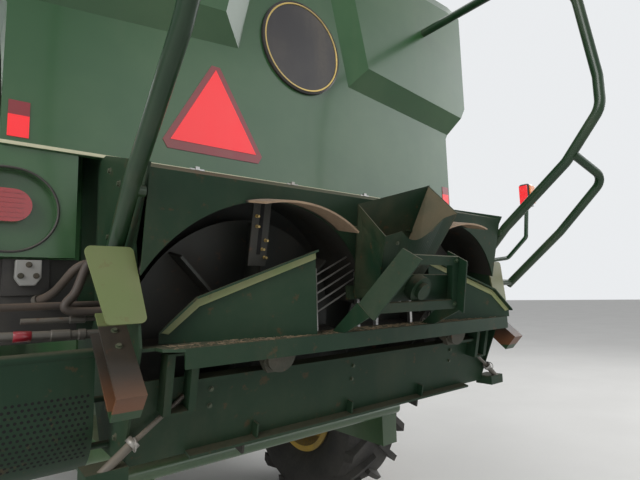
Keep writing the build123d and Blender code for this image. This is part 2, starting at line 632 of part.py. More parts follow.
glass_low = cab_floor + floor_thick
with BuildPart() as cab_glass:
    with BuildSketch(Plane.XY.offset(glass_low)):
        with BuildLine():
            ThreePointArc((cab_half, cab_front_y - 2), (0, cab_front_y - glass_bow - 2),
                          (-cab_half, cab_front_y - 2))
            Line((-cab_half, cab_front_y - 2), (-cab_half, cab_front_y - 2 - glass))
            ThreePointArc((-cab_half, cab_front_y - 2 - glass), (0, cab_front_y - glass_bow - 2 - glass),
                          (cab_half, cab_front_y - 2 - glass))
            Line((cab_half, cab_front_y - 2 - glass), (cab_half, cab_front_y - 2))
        make_face()
    extrude(amount=roof_low - glass_low)
    side_low = glass_low + sill
    box((-cab_half + 20, -cab_half + 20 + glass), (cab_front_y + post, cab_rear_y - 90),
        (side_low, roof_low - 50))
    box((-cab_half + 150, cab_half - 150), (cab_rear_y - 30, cab_rear_y - 30 + glass),
        (3000, roof_low - 120))
pieces["cab_glass"] = cab_glass.part

# Cab door on the left, hinged at its rear edge
with BuildPart() as cab_door:
    box((door_x, door_x + 34), (door_front, door_rear), (door_low, door_high))
    box((door_x - 1, door_x + 35), (door_front + door_frame, door_rear - door_frame),
        (door_low + door_frame, door_high - door_frame), mode=Mode.SUBTRACT)
    for z in door_hinges:
        rod((door_x + 44, door_rear - 8, z - 50), (door_x + 44, door_rear - 8, z + 50), 12)
        rod((door_x + 44, door_rear - 8, z - 51), (door_x + 44, door_rear - 8, z + 51), door_pin + pin_gap,
            mode=Mode.SUBTRACT)
    box((door_x + 34, door_x + 60), (door_front + 16, door_front + 44), (door_low + 330, door_low + 560))
pieces["cab_door"] = cab_door.part
with BuildPart() as door_glass:
    box((door_x + 13, door_x + 13 + glass), (door_front + door_frame, door_rear - door_frame),
        (door_low + door_frame, door_high - door_frame))
pieces["door_glass"] = door_glass.part

# Seat and steering column
seat_y = cab_rear_y - 420
seat_base = cab_floor + floor_thick
with BuildPart() as seat:
    box((-180, 180), (seat_y - 180, seat_y + 180), (seat_base, seat_base + 330))
    box((-250, 250), (seat_y - 260, seat_y + 240), (seat_base + 330, seat_base + 450))
    side_profile([(seat_y + 160, seat_base + 450), (seat_y + 270, seat_base + 450),
                  (seat_y + 350, seat_base + 1100),
                  (seat_y + 270, seat_base + 1110)], -230, 230)
    box((-360, -270), (seat_y - 230, seat_y + 220), (seat_base + 560, seat_base + 640))
    box((-270, -250), (seat_y + 60, seat_y + 160), (seat_base + 400, seat_base + 640))
pieces["seat"] = seat.part

column_y = cab_front_y + 190
column_top = (0, column_y + 150, seat_base + 730)
with BuildPart() as steering_column:
    box((-70, 70), (column_y - 70, column_y + 70), (seat_base, seat_base + 24))
    rod((0, column_y, seat_base + 14), column_top, 40)
    with BuildSketch(Plane(origin=column_top, z_dir=(0, 0.5, 1))):
        Circle(52)
    extrude(amount=30)
    ring_plane = Plane(origin=(0, column_top[1] + 8, column_top[2] + 20), z_dir=(0, 0.5, 1))
    with BuildSketch(ring_plane):
        Rectangle(380, 34)
    extrude(amount=12)
    ring = Torus(190, 15, mode=Mode.PRIVATE)
    add(ring_plane.location * ring)
pieces["steering_column"] = steering_column.part

# Platform beside the cab with its handrails, and the ladder that hangs from its front edge
with BuildPart() as platform:
    box((cab_half + 12, deck_out), (deck_front_y, deck_rear_y), (deck_z, deck_z + deck_thick))
    for y in (deck_front_y + 300, deck_rear_y - 150):
        box((600, cab_half + 60), (y, y + 80), (cab_floor - 60, cab_floor))
        box((cab_half + 12, cab_half + 60), (y, y + 80), (cab_floor, deck_z))
    box((ladder_in - 34, ladder_in + 46), (ladder_pin_y - 36, ladder_pin_y + 36), (deck_z - 36, deck_z))
    rod((ladder_in + 6, ladder_pin_y, deck_z - 37), (ladder_in + 6, ladder_pin_y, deck_z),
        ladder_pin + pin_gap,
        mode=Mode.SUBTRACT)
rails = [
    [(deck_out - 30, deck_front_y + 40, deck_z + deck_thick),
     (deck_out - 30, deck_front_y + 40, deck_z + rail_height_up),
     (deck_out - 30, deck_rear_y - 40, deck_z + rail_height_up), (deck_out - 30, deck_rear_y - 40,
                                                                  deck_z + deck_thick)],
    [(cab_half + 80, deck_front_y + 30, deck_z + deck_thick),
     (cab_half + 80, deck_front_y + 30, deck_z + 220),
     (cab_half + 80, deck_front_y - 60, deck_z + 500), (cab_half + 80, deck_front_y + 30,
                                                        deck_z + rail_height_up)],
]
handrail = bent_tube(rails[0], rail_tube, 120)
with BuildPart() as handrails:
    add(handrail)
    add(bent_tube(rails[1], rail_tube, 60))
    rod((deck_out - 30, deck_front_y + 40, deck_z + 520), (deck_out - 30, deck_rear_y - 40, deck_z + 520),
        rail_tube * 0.8)
    rod((deck_out - 30, (deck_front_y + deck_rear_y) / 2, deck_z + deck_thick),
        (deck_out - 30, (deck_front_y + deck_rear_y) / 2, deck_z + rail_height_up), rail_tube * 0.8)
    rod((deck_out - 30, deck_rear_y - 60, deck_z + rail_height_up - 140),
        (cab_half + 120, deck_rear_y - 60, deck_z + rail_height_up - 140), rail_tube * 0.8)
with BuildPart() as railed_platform:
    add(platform.part)
    add(handrails.part)
pieces["platform"] = railed_platform.part

ladder_top = (deck_front_y - 30, deck_z - 20)
ladder_foot = (deck_front_y - 30 - ladder_run, ladder_low_z)
step_count = 5
with BuildPart() as ladder:
    for x in (ladder_in, ladder_out - 12):
        side_profile([ladder_top, (ladder_top[0] - 70, ladder_top[1]),
                      (ladder_foot[0] - 70, ladder_foot[1]),
                      (ladder_foot[0], ladder_foot[1])], x, x + 12)
    for step in range(step_count):
        share = (step + 0.5) / step_count
        y = ladder_foot[0] + share * (ladder_top[0] - ladder_foot[0])
        z = ladder_foot[1] + share * (ladder_top[1] - ladder_foot[1])
        box((ladder_in + 12, ladder_out - 12), (y - 150, y - 6), (z - 14, z + 14))
    rod((ladder_in + 6, ladder_pin_y, deck_z - 160), (ladder_in + 6, ladder_pin_y, deck_z - seat_gap),
        ladder_pin)
    box((ladder_in - 10, ladder_in + 22), (ladder_top[0] - 60, ladder_pin_y), (deck_z - 150, deck_z - 60))
pieces["ladder"] = ladder.part

# Mirrors on arms from the roof's front corners, and the work lights and beacons
mirror_arm = bent_tube([(cab_half + 34, cab_front_y, roof_low), (cab_half + 34, cab_front_y, roof_low - 90),
                        (cab_half + 745, cab_front_y - 60, roof_low - 90),
                        (cab_half + 745, cab_front_y - 60, roof_low - 560)], 15, 60)
with BuildPart() as mirror_left:
    add(mirror_arm)
    box((cab_half + 640, cab_half + 860), (cab_front_y - 50, cab_front_y - 5),
        (roof_low - 560, roof_low - 130))
with BuildPart() as mirrors:
    add(mirror_left.part)
    mirror(about=Plane.YZ)
pieces["mirrors"] = mirrors.part

with BuildPart() as work_lights:
    for x in (-640, -460, 460, 640):
        box((x - 68, x + 68), (cab_front_y - 60, cab_front_y + 40), (roof_low + 42, roof_low + 128))
    for x in (-560, 560):
        rod((x, cab_rear_y - 260, roof_low + roof_thick), (x, cab_rear_y - 260, roof_low + roof_thick + 60),
            26)
        rod((x, cab_rear_y - 260, roof_low + roof_thick + 60),
            (x, cab_rear_y - 260, roof_low + roof_thick + 170), 62)
pieces["work_lights"] = work_lights.part

# Feederhouse: a sloping box open at its face, turning about a pin ahead of the body
feeder_roof = [(feeder_pivot_y - 40, feeder_pivot_z + 200), (feeder_y + 160, feeder_face_high),
               (feeder_y, feeder_face_high)]
feeder_floor = [(feeder_y, feeder_face_low), (feeder_y + 160, feeder_face_low),
                (feeder_pivot_y - 60, feeder_pivot_z - 300)]
with BuildPart() as feederhouse:
    side_profile(feeder_roof + feeder_floor, -feeder_half, feeder_half)
    side_profile([(feeder_pivot_y - 39, feeder_pivot_z + 160), (feeder_y + 170, feeder_face_high - 60),
                  (feeder_y - 1, feeder_face_high - 60), (feeder_y - 1, feeder_face_low + 60),
                  (feeder_y + 170, feeder_face_low + 60), (feeder_pivot_y - 59, feeder_pivot_z - 260)],
                 40 - feeder_half, feeder_half - 40, mode=Mode.SUBTRACT)
    front_profile([(-feeder_half - 30, feeder_face_low), (feeder_half + 30, feeder_face_low),
                   (feeder_half + 30, feeder_face_high), (-feeder_half - 30, feeder_face_high)],
                  feeder_y, feeder_y + 60)
    box((80 - feeder_half, feeder_half - 80), (feeder_y - 1, feeder_y + 61),
        (feeder_face_low + 60, feeder_face_high - 60),
        mode=Mode.SUBTRACT)
    rod((80 - feeder_half, feeder_y + 420, 910), (feeder_half - 80, feeder_y + 420, 910), 190)
    rod((-feeder_half, feeder_y + 420, 910), (feeder_half, feeder_y + 420, 910), 50)
    for sign in (1, -1):
        for side in (-62, 44):
            low, high = sorted((sign * lift_x + side, sign * lift_x + side + 18))
            side_profile([(lift_eye_y - 130, lift_eye_z + 90), (lift_eye_y + 110, lift_eye_z + 170),
                          (lift_eye_y + 60, lift_eye_z - 55), (lift_eye_y - 60,
                                                               lift_eye_z - 60)], low, high)
        rod((sign * lift_x - 90, lift_eye_y, lift_eye_z), (sign * lift_x + 90, lift_eye_y, lift_eye_z),
            lift_pin + lift_drift, mode=Mode.SUBTRACT)
        rod((sign * (feeder_half - 40), feeder_pivot_y, feeder_pivot_z),
            (sign * feeder_half, feeder_pivot_y, feeder_pivot_z), 125)
        rod((sign * feeder_half, feeder_pivot_y, feeder_pivot_z),
            (sign * (feeder_half + 40), feeder_pivot_y, feeder_pivot_z), feeder_pin)
pieces["feederhouse"] = feederhouse.part

# Feeder carrier: cheek plates on the body that hold the feederhouse's pins, and the lift cylinders' feet
with BuildPart() as feeder_carrier:
    for sign in (1, -1):
        low, high = sorted((sign * (feeder_half + 6), sign * (feeder_half + 40)))
        side_profile([(body_front_y, 1570), (body_front_y, 1860), (feeder_pivot_y - 110, 1760),
                      (feeder_pivot_y - 110, 1520)], low, high)
        rod((low - 1, feeder_pivot_y, feeder_pivot_z), (high + 1, feeder_pivot_y, feeder_pivot_z),
            feeder_pin + pin_gap, mode=Mode.SUBTRACT)
        for side in (-66, 46):
            low, high = sorted((sign * lift_x + side, sign * lift_x + side + 20))
            side_profile([(front_axle_y - 150, lift_base_z + 300), (lift_base_y - 50, lift_base_z + 60),
                          (lift_base_y - 50, lift_base_z - 50), (lift_base_y + 40, lift_base_z - 50),
                          (front_axle_y - 150, lift_base_z + 140)], low, high)
        rod((sign * lift_x - 70, lift_base_y, lift_base_z), (sign * lift_x + 70, lift_base_y, lift_base_z),
            lift_pin + pin_gap, mode=Mode.SUBTRACT)
pieces["feeder_carrier"] = feeder_carrier.part

# Lift cylinders: the barrel turns on its foot's pin, and the rod slides out to the feederhouse
lift_axis = Vector(0, lift_eye_y - lift_base_y, lift_eye_z - lift_base_z)
lift_length = lift_axis.length
lift_frame = Plane(origin=(lift_x, lift_base_y, lift_base_z), x_dir=(1, 0, 0), z_dir=lift_axis)
barrel_length = lift_length - 330
with BuildPart() as lift_barrel:
    with BuildSketch(lift_frame):
        Circle(42)
    extrude(amount=90)
    with BuildSketch(lift_frame.offset(80)):
        Circle(lift_barrel_radius)
    extrude(amount=barrel_length - 80)
    with BuildSketch(lift_frame.offset(120)):
        Circle(lift_rod_radius + pin_gap)
    extrude(amount=barrel_length, mode=Mode.SUBTRACT)
    rod((lift_x - 45, lift_base_y, lift_base_z), (lift_x + 45, lift_base_y, lift_base_z), 52)
    rod((lift_x - 66, lift_base_y, lift_base_z), (lift_x + 66, lift_base_y, lift_base_z), lift_pin)
with BuildPart() as lift_rod:
    with BuildSketch(lift_frame.offset(520)):
        Circle(lift_rod_radius)
    extrude(amount=lift_length - 520)
    rod((lift_x - 42, lift_eye_y, lift_eye_z), (lift_x + 42, lift_eye_y, lift_eye_z), 42)
    rod((lift_x - 70, lift_eye_y, lift_eye_z), (lift_x + 70, lift_eye_y, lift_eye_z), lift_pin)
for side, sign in (("left", 1), ("right", -1)):
    pieces[f"lift_barrel_{side}"] = lift_barrel.part if sign > 0 else lift_barrel.part.mirror(Plane.YZ)
    pieces[f"lift_rod_{side}"] = lift_rod.part if sign > 0 else lift_rod.part.mirror(Plane.YZ)

# Spreader at the tail. Its own plane: X to the machine's right, Y up the lean, Z out to the rear.
lean = radians(tail_lean)
out = (0, cos(lean), -sin(lean))
tail_plane = Plane(origin=(0, hood_y + tail_offset, tail_z), x_dir=(-1, 0, 0), z_dir=out)


def tail_spot(across, depth):
    """The tail's plane moved across to the machine's right and out to the rear."""
    return Plane(origin=tail_plane.from_local_coords((across, 0, depth)), x_dir=(-1, 0, 0), z_dir=out)


def tail_at(z):
    """Distance behind the hood's rear face of the tail plane at height z."""
    return tail_offset + (z - tail_z) * tan(lean)


arch_thick = 6
tray_rise = tray_z + tray_thick - tail_z
wall_outline = [(hood_y - 90, seam_z - 16), (hood_y + 4, seam_z - 16),
                (hood_y + wall_corner[0], wall_corner[1]),
                (hood_y + wall_elbow[0] + 40, wall_elbow[1]), (hood_y + tail_at(1600) + 60, 1600),
                (hood_y + tail_at(board_low), board_low), (hood_y + 20, board_low), (hood_y - 90, 1480)]
with BuildPart() as spreader_frame:
    for sign in (1, -1):
        low, high = sorted((sign * wall_x, sign * (wall_x + wall_thick)))
        side_profile(wall_outline, low, high)
    with BuildSketch(tail_plane):
        with BuildLine():
            Polyline((-wall_x, tray_rise), (wall_x, tray_rise), (wall_x, plate_top), (-wall_x, plate_top),
                     close=True)
        make_face()
        with Locations((-rotor_x, 0), (rotor_x, 0)):
            Circle(shroud_radius, mode=Mode.SUBTRACT)
    extrude(amount=-arch_thick)
    top_y, top_z = hood_y + tail_offset + plate_top * sin(lean), tail_z + plate_top * cos(lean)
    side_profile([(hood_y, seam_z - 16), (hood_y, seam_z - 22), (top_y - 10, top_z - 6), (top_y, top_z)],
                 -wall_x, wall_x)
    for sign in (1, -1):
        low, high = sorted((sign * (wall_x - 26), sign * wall_x))
        box((low, high), (hood_y - 58, hood_y + 4), (seam_z - 46, seam_z - 22))
pieces["spreader_frame"] = spreader_frame.part

# Round shrouds: rings about each rotor, a back wall, and the curved lip over the inner side
lip_start, lip_end = 57, 104
with BuildPart() as shroud:
    with BuildSketch(tail_plane.offset(-chamber_depth)):
        with Locations((-rotor_x, 0)):
            Circle(shroud_radius + shroud_thick)
            Circle(shroud_radius, mode=Mode.SUBTRACT)
        with Locations((-rotor_x, -260)):
            Rectangle(3 * shroud_radius, 520, mode=Mode.SUBTRACT)
        with Locations((300 - 1, 250)):
            Rectangle(600, 600, mode=Mode.SUBTRACT)
        with Locations((-wall_x - 299, 250)):
            Rectangle(600, 600, mode=Mode.SUBTRACT)
    extrude(amount=chamber_depth - arch_thick)
    with BuildSketch(tail_plane.offset(-chamber_depth - 6)):
        with BuildLine():
            Polyline((-wall_x + 1, board_low - tail_z + 10), (-1, board_low - tail_z + 10),
                     (-1, plate_top - 50),
                     (-wall_x + 1, plate_top - 50), close=True)
        make_face()
    extrude(amount=6)
    lip_plane = tail_spot(-rotor_x, 0)
    with BuildSketch(lip_plane):
        with BuildLine():
            reach = shroud_radius + 8
            arc = CenterArc((0, 0), shroud_radius + 2, lip_start, lip_end - lip_start)
            top = CenterArc((0, 0), reach, lip_start, lip_end - lip_start)
            Line(arc @ 0, top @ 0)
            Line(arc @ 1, top @ 1)
        make_face()
    extrude(amount=lip_depth)
with BuildPart() as rotor_shrouds:
    add(shroud.part)
    mirror(about=Plane.YZ)
pieces["rotor_shrouds"] = rotor_shrouds.part

# Rotors: a disc with radial bats, a hub and a shaft that runs out to its motor
with BuildPart() as rotor:
    disc_plane = tail_spot(-rotor_x, -rotor_recess - disc_thick)
    with BuildSketch(disc_plane):
        Circle(rotor_radius)
    extrude(amount=disc_thick)
    with BuildSketch(disc_plane.offset(disc_thick)):
        with PolarLocations((rotor_radius + hub_radius) / 2 - 8, bat_count, start_angle=90):
            Rectangle(rotor_radius - hub_radius + 4, bat_thick)
    extrude(amount=bat_height)
    with BuildSketch(disc_plane.offset(disc_thick)):
        Circle(hub_radius)
    extrude(amount=bat_height + 10)
    with BuildSketch(disc_plane.offset(disc_thick)):
        Circle(shaft_radius)
    extrude(amount=rotor_recess + 40)
pieces["rotor_left"] = rotor.part
pieces["rotor_right"] = rotor.part.mirror(Plane.YZ)

# Tray: the beam across the tail with its lip, and the rotor motors hung from it
with BuildPart() as spreader_tray:
    tray_in = hood_y + tail_at(tray_z + tray_thick) + 1
    with BuildSketch(Plane.XY.offset(tray_z)):
        with BuildLine():
            Polyline((-tray_half, tray_in), (tray_half, tray_in), (tray_half, hood_y + tray_rear - 40),
                     (tray_half - 40, hood_y + tray_rear), (-tray_half + 40, hood_y + tray_rear),
                     (-tray_half, hood_y + tray_rear - 40), close=True)
        make_face()
    extrude(amount=tray_thick)
    box((-tray_half + 40, tray_half - 40), (hood_y + tray_rear - 6, hood_y + tray_rear),
        (tray_z + tray_thick - tray_lip, tray_z + tray_thick))
    for sign in (1, -1):
        low, high = sorted((sign * tray_half, sign * wall_x))
        box((low, high), (tray_in, tray_in + 50), (tray_z, tray_z + tray_thick))
pieces["spreader_tray"] = spreader_tray.part
with BuildPart() as rotor_motor:
    motor_plane = tail_spot(-rotor_x, 40.5)
    with BuildSketch(motor_plane):
        Circle(motor_radius)
    extrude(amount=64)
    with BuildSketch(motor_plane.offset(20)):
        RegularPolygon(motor_radius + 14, 6)
    extrude(amount=22)
    with BuildSketch(motor_plane.offset(20)):
        with Locations((-44, 10), (44, 10)):
            Rectangle(10, 60)
    extrude(amount=30)
    box((-900, 900), (hood_y, hood_y + 700), (tray_z, tray_z + 200), mode=Mode.SUBTRACT)
with BuildPart() as rotor_motors:
    add(rotor_motor.part)
    mirror(about=Plane.YZ)
pieces["rotor_motors"] = rotor_motors.part


def make_vane(inner, outer):
    """A plate that stands on the tray between two feet, high at the inner end, flanged along its top."""
    run = hypot(outer[0] - inner[0], outer[1] - inner[1])
    across = ((outer[0] - inner[0]) / run, (outer[1] - inner[1]) / run, 0)
    face = Plane(origin=(inner[0], hood_y + inner[1], tray_z + tray_thick), x_dir=across,
                 z_dir=Vector(*across).cross(Vector(0, 0, 1)))
    base = tray_z + tray_thick
    knee = vane_knee_share * run
    with BuildPart() as vane:
        with BuildSketch(face):
            with BuildLine():
                Polyline((0, 0), (run, 0), (run, vane_low - base), (knee, vane_knee - base),
                         (0, vane_high - base),
                         close=True)
            make_face()
        extrude(amount=vane_thick)
        for start, end in (((0, vane_high - base), (knee, vane_knee - base)),
                           ((knee, vane_knee - base), (run, vane_low - base))):
            with BuildSketch(face):
                with BuildLine():
                    Polyline(start, end, (end[0], end[1] - vane_thick), (start[0], start[1] - vane_thick),
                             close=True)
                make_face()
            extrude(amount=-vane_flange if across[0] > 0 else vane_flange)
    return vane.part


left_vane = make_vane(vane_inner, vane_outer)
right_vane = make_vane(right_vane_inner, right_vane_outer)
with BuildPart() as deflector_vanes:
    add(left_vane)
    add(right_vane)
pieces["deflector_vanes"] = deflector_vanes.part

# Centre chute: a slanted open box over the middle of the tail
chute_foot_z = 1690
with BuildPart() as centre_chute:
    side_profile([(hood_y + tail_at(chute_back[1] - 10), chute_back[1] - 10),
                  (hood_y + chute_back[0], chute_back[1]), (hood_y + chute_front[0], chute_front[1]),
                  (hood_y + tail_at(chute_foot_z) + 130, chute_foot_z), (hood_y + tail_at(chute_foot_z),
                      chute_foot_z)],
                 -chute_half, chute_half)
    side_profile([(hood_y + tail_at(chute_back[1]) + 2 + chute_wall, chute_back[1] + 60),
                  (hood_y + chute_back[0], chute_back[1] + 60), (hood_y + chute_front[0],
                                                                 chute_front[1] + 60),
                  (hood_y + chute_front[0] - chute_wall - 4, chute_front[1] - 8),
                  (hood_y + tail_at(chute_foot_z + 40) + 122, chute_foot_z + 40),
                  (hood_y + tail_at(chute_foot_z + 40) + 8, chute_foot_z + 40)],
                 chute_wall - chute_half, chute_half - chute_wall, mode=Mode.SUBTRACT)
    rod((-25, hood_y + chute_front[0] - 60, chute_front[1] + 70),
        (-25, hood_y + chute_front[0] + 20, chute_front[1] + 70),
        118, mode=Mode.SUBTRACT)
pieces["centre_chute"] = centre_chute.part

# Centre bracket: a tapered frame behind the chute's foot that carries the middle motor
foot_x, foot_y, foot_z = bracket_foot
head_x, head_y, head_z = bracket_head
bracket_up = Vector(0, head_y - foot_y, head_z - foot_z)
bracket_plane = Plane(origin=(0, hood_y + foot_y, foot_z), x_dir=(-1, 0, 0),
                      z_dir=bracket_up.cross(Vector(1, 0, 0)))
with BuildPart() as centre_bracket:
    rise = bracket_up.length
    with BuildSketch(bracket_plane):
        with BuildLine():
            Polyline((-foot_x, 0), (foot_x, 0), (head_x, rise), (-head_x, rise), close=True)
        make_face()
        with BuildLine():
            Polyline((-foot_x + 50, 34), (foot_x - 50, 34), (head_x - 22, rise - 30),
                     (-head_x + 22, rise - 30), close=True)
        make_face(mode=Mode.SUBTRACT)
    extrude(amount=8)
    for sign in (1, -1):
        with BuildSketch(bracket_plane):
            with BuildLine():
                Polyline((sign * foot_x, 0), (sign * head_x, rise), (sign * (head_x - 7), rise),
                         (sign * (foot_x - 7), 0),
                         close=True)
            make_face()
        extrude(amount=40, both=True)
        low, high = sorted((sign * (foot_x - 7), sign * foot_x))
        side_profile([(hood_y + tray_rear - 60, tray_z + tray_thick),
                      (hood_y + tray_rear, tray_z + tray_thick),
                      (hood_y + foot_y + 20, foot_z - 10), (hood_y + foot_y - 30, foot_z + 30)], low, high)
    with BuildSketch(bracket_plane.offset(-40)):
        with BuildLine():
            Polyline((-foot_x + 20, 14), (foot_x - 20, 14), (foot_x - 66, 108), (-foot_x + 66, 108),
                     close=True)
        make_face()
    extrude(amount=6)
    with BuildSketch(bracket_plane.offset(-34)):
        with Locations((0, 68)):
            Circle(motor_radius - 2)
    extrude(amount=30)
    with BuildSketch(bracket_plane.offset(-4)):
        with Locations((0, 68)):
            Circle(motor_radius - 19)
    extrude(amount=14)
pieces["centre_bracket"] = centre_bracket.part

# Tailboard: a ribbed plate below the tray, folded at its top
with BuildPart() as tailboard:
    board_plane = Plane(origin=(0, hood_y + tail_at(board_low), board_low),
                        x_dir=(-1, 0, 0), z_dir=out)
    height = (board_top - board_low) / cos(lean)
    with BuildSketch(board_plane):
        with Locations((0, height / 2)):
            Rectangle(2 * wall_x, height)
    extrude(amount=board_thick)
    with BuildSketch(board_plane.offset(board_thick)):
        with Locations((0, height - 5)):
            Rectangle(2 * board_half, 10)
        with Locations((0, 4)):
            Rectangle(2 * board_half, 8)
    extrude(amount=34)
    with BuildSketch(board_plane.offset(board_thick)):
        with Locations((-430, 26), (-50, 26), (330, 26)):
            Rectangle(6, 46)
    extrude(amount=26)
    with BuildSketch(board_plane.offset(board_thick)):
        for sign in (1, -1):
            with Locations((sign * 685, 215)):
                Rectangle(86, 160)
                Rectangle(46, 148, mode=Mode.SUBTRACT)
    extrude(amount=46)
    for sign in (1, -1):
        for start, end, radius in ((strut_run[0], strut_run[1], 6), (strut_run[1], strut_run[2], 11)):
            rod((sign * start[0], hood_y + strut_y, start[1]), (sign * end[0], hood_y + strut_y, end[1]),
                radius)
        low, high = sorted((sign * 801, sign * 896))
        box((low, high), (hood_y + 215, hood_y + strut_y + 12), (1280, 1318))
        box((sign * 640, sign * 660), (hood_y + tail_at(1467) + 40, hood_y + strut_y + 8), (1457, 1480))
pieces["tailboard"] = tailboard.part

# Guard tubes at both sides, with the branch on the right, and their clamps on the walls
main_tube = bent_tube([(guard_x, hood_y + y, z) for y, z in guard_run], guard_radius, guard_bend)
branch_start = (-guard_x, hood_y + 722, 2265)
branch_tube = bent_tube([branch_start] + [(-branch_x, hood_y + y, z) for y, z in branch_run],
                        guard_radius - 3, 60)
with BuildPart() as guard_tubes:
    add(main_tube)
    for y, z in ((guard_run[0][0] + 30, guard_run[0][1] + 32),
                 (guard_run[1][0] - 20, guard_run[1][1] - 22)):
        rod((wall_x + wall_thick, hood_y + y, z), (guard_x, hood_y + y, z), 14)
    mirror(about=Plane.YZ)
    add(branch_tube)
    rod((-wall_x - wall_thick, hood_y + branch_run[2][0] + 14, branch_run[2][1] + 12),
        (-branch_x, hood_y + branch_run[2][0] + 14, branch_run[2][1] + 12), 14)
pieces["guard_tubes"] = guard_tubes.part

# Side arms: a channel on each wall that slopes to the rear, and the flat flap on the wall's rear edge
run_y, run_z = arm_foot[0] - arm_top[0], arm_foot[1] - arm_top[1]
arm_run = hypot(run_y, run_z)
along_y, along_z = run_y / arm_run, run_z / arm_run
arm_in = wall_x + wall_thick


def arm_strip(low, high, start=0, length=arm_run):
    """Corners of a strip of the channel: its reach across the run, where it starts and how long it is."""
    spots = [(start, low), (start, high), (start + length, high), (start + length, low)]
    return [(hood_y + arm_top[0] + run * along_y - across * along_z,
             arm_top[1] + run * along_z + across * along_y)
            for run, across in spots]


with BuildPart() as side_arm:
    side_profile(arm_strip(-arm_half, arm_half), arm_in, arm_in + arm_thick)
    side_profile(arm_strip(-arm_half, arm_thick - arm_half), arm_in, arm_in + arm_depth)
    side_profile(arm_strip(arm_half - arm_thick, arm_half), arm_in, arm_in + arm_depth)
    side_profile(arm_strip(-arm_half, arm_half, arm_run - arm_thick, arm_thick), arm_in, arm_in + arm_depth)
    edge_top = Vector(0, hood_y + wall_elbow[0] + 40, wall_elbow[1])
    edge_foot = Vector(0, hood_y + tail_at(1600) + 60, 1600)
    flap_up = (edge_top - edge_foot).normalized()
    with BuildSketch(Plane(origin=edge_foot, x_dir=(-1, 0, 0),
                           z_dir=Vector(-1, 0, 0).cross(flap_up))) as flap:
        with BuildLine():
            heights = [(flap_top - 1600) / flap_up.Z, (flap_foot - 1600) / flap_up.Z]
            Polyline(*[(-x, heights[row]) for x, row in flap_corners], close=True)
        make_face()
        fillet(flap.vertices(), 14)
    extrude(amount=arm_thick)
pieces["side_arms"] = side_arm.part + side_arm.part.mirror(Plane.YZ)

# Drive shield on the left: a cover that hangs from its tube and rolls under at its foot
with BuildPart() as drive_shield:
    with BuildSketch(Plane.YZ.offset(drive_in)):
        with BuildLine():
            FilletPolyline((hood_y + drive_rear, drive_top), (hood_y + drive_rear, drive_low),
                           (hood_y - 60, drive_low),
                           radius=drive_bend)
            offset(amount=4, side=Side.LEFT)
        make_face()
    extrude(amount=drive_out - drive_in)
    bend_y, bend_z, mid = hood_y + drive_rear - drive_bend, drive_low + drive_bend, drive_bend - 2
    side_profile([(hood_y - 60, drive_low + 2), (bend_y, drive_low + 2),
                  (bend_y + mid * 0.707, bend_z - mid * 0.707),
                  (bend_y + mid, bend_z), (bend_y + mid, drive_top), (hood_y - 60,
                                                                      drive_top)], drive_out - 4, drive_out)
    rod((wall_x + wall_thick, hood_y + drive_rear - 8, drive_top + 6),
        (drive_out, hood_y + drive_rear - 8, drive_top + 6), carrier_radius)
    for y, z in ((hood_y + 60, 1440), (hood_y + 110, 1330)):
        rod((wall_x + wall_thick, y, z), (drive_out - 2, y, z), 9)
pieces["drive_shield"] = drive_shield.part

# Lamps: tail lamps in the skirts' recesses, and marker lamps on stems
with BuildPart() as tail_lamp:
    with BuildSketch(Plane(origin=(0, hood_face - recess_depth, 0), x_dir=(-1, 0, 0), z_dir=(0, 1, 0))):
        with Locations((-(lamp_in + lamp_out) / 2, lamp_z)):
            SlotOverall(lamp_out - lamp_in, lamp_height)
    extrude(amount=recess_depth - 4)
with BuildPart() as marker_lamp:
    root_x, root_z = hood_half - 45, skirt_low + 21
    add(bent_tube([(root_x, hood_face, root_z), (root_x, hood_y + 10, root_z),
                   (marker_x, hood_y + 173, root_z + 19),
                   (marker_x, hood_y + marker_out - 20, marker_z - 163), (marker_x, hood_y + marker_out,
                       marker_z + 40)],
                  marker_radius, 30))
    with BuildSketch(Plane.XY.offset(marker_z)):
        with Locations((marker_x, hood_y + marker_out)):
            RectangleRounded(marker_width, marker_depth, 16)
    extrude(amount=marker_height)
    fillet(marker_lamp.faces().sort_by(Axis.Z)[-1].edges(), 12)
marker = marker_lamp.part
with BuildPart() as tail_lamps:
    add(tail_lamp.part)
    mirror(about=Plane.YZ)
    add(marker)
    add(marker.mirror(Plane.YZ))
pieces["tail_lamps"] = tail_lamps.part

os.makedirs("parts", exist_ok=True)
for label, piece in pieces.items():
    piece.label = label
    export_step(piece, f"parts/{label}.step")
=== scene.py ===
import bpy
import bmesh
import math
from mathutils import Matrix, Vector


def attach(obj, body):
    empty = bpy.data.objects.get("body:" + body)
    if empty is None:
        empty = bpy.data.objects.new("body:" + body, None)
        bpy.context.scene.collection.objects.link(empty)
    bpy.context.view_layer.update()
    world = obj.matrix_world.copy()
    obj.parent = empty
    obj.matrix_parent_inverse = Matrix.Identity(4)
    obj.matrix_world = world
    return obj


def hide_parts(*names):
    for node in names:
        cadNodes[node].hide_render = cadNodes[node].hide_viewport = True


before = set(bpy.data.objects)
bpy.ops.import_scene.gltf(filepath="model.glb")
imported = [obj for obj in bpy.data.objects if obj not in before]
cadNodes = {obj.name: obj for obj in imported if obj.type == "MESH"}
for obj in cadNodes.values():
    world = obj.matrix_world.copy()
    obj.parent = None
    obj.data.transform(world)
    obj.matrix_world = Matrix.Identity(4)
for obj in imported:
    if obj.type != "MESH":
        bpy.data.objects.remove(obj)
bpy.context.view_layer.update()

# Places shared with the solids, in metres
tailY = 3.54                 # the rear hood's proud panel
faceY = tailY - 0.06         # the panel below it
seamZ = 2.178
lean = math.radians(12)      # the spreader leans this far rearward at its top
tailOut = Vector((0, math.cos(lean), -math.sin(lean)))
tailUp = Vector((0, math.sin(lean), math.cos(lean)))
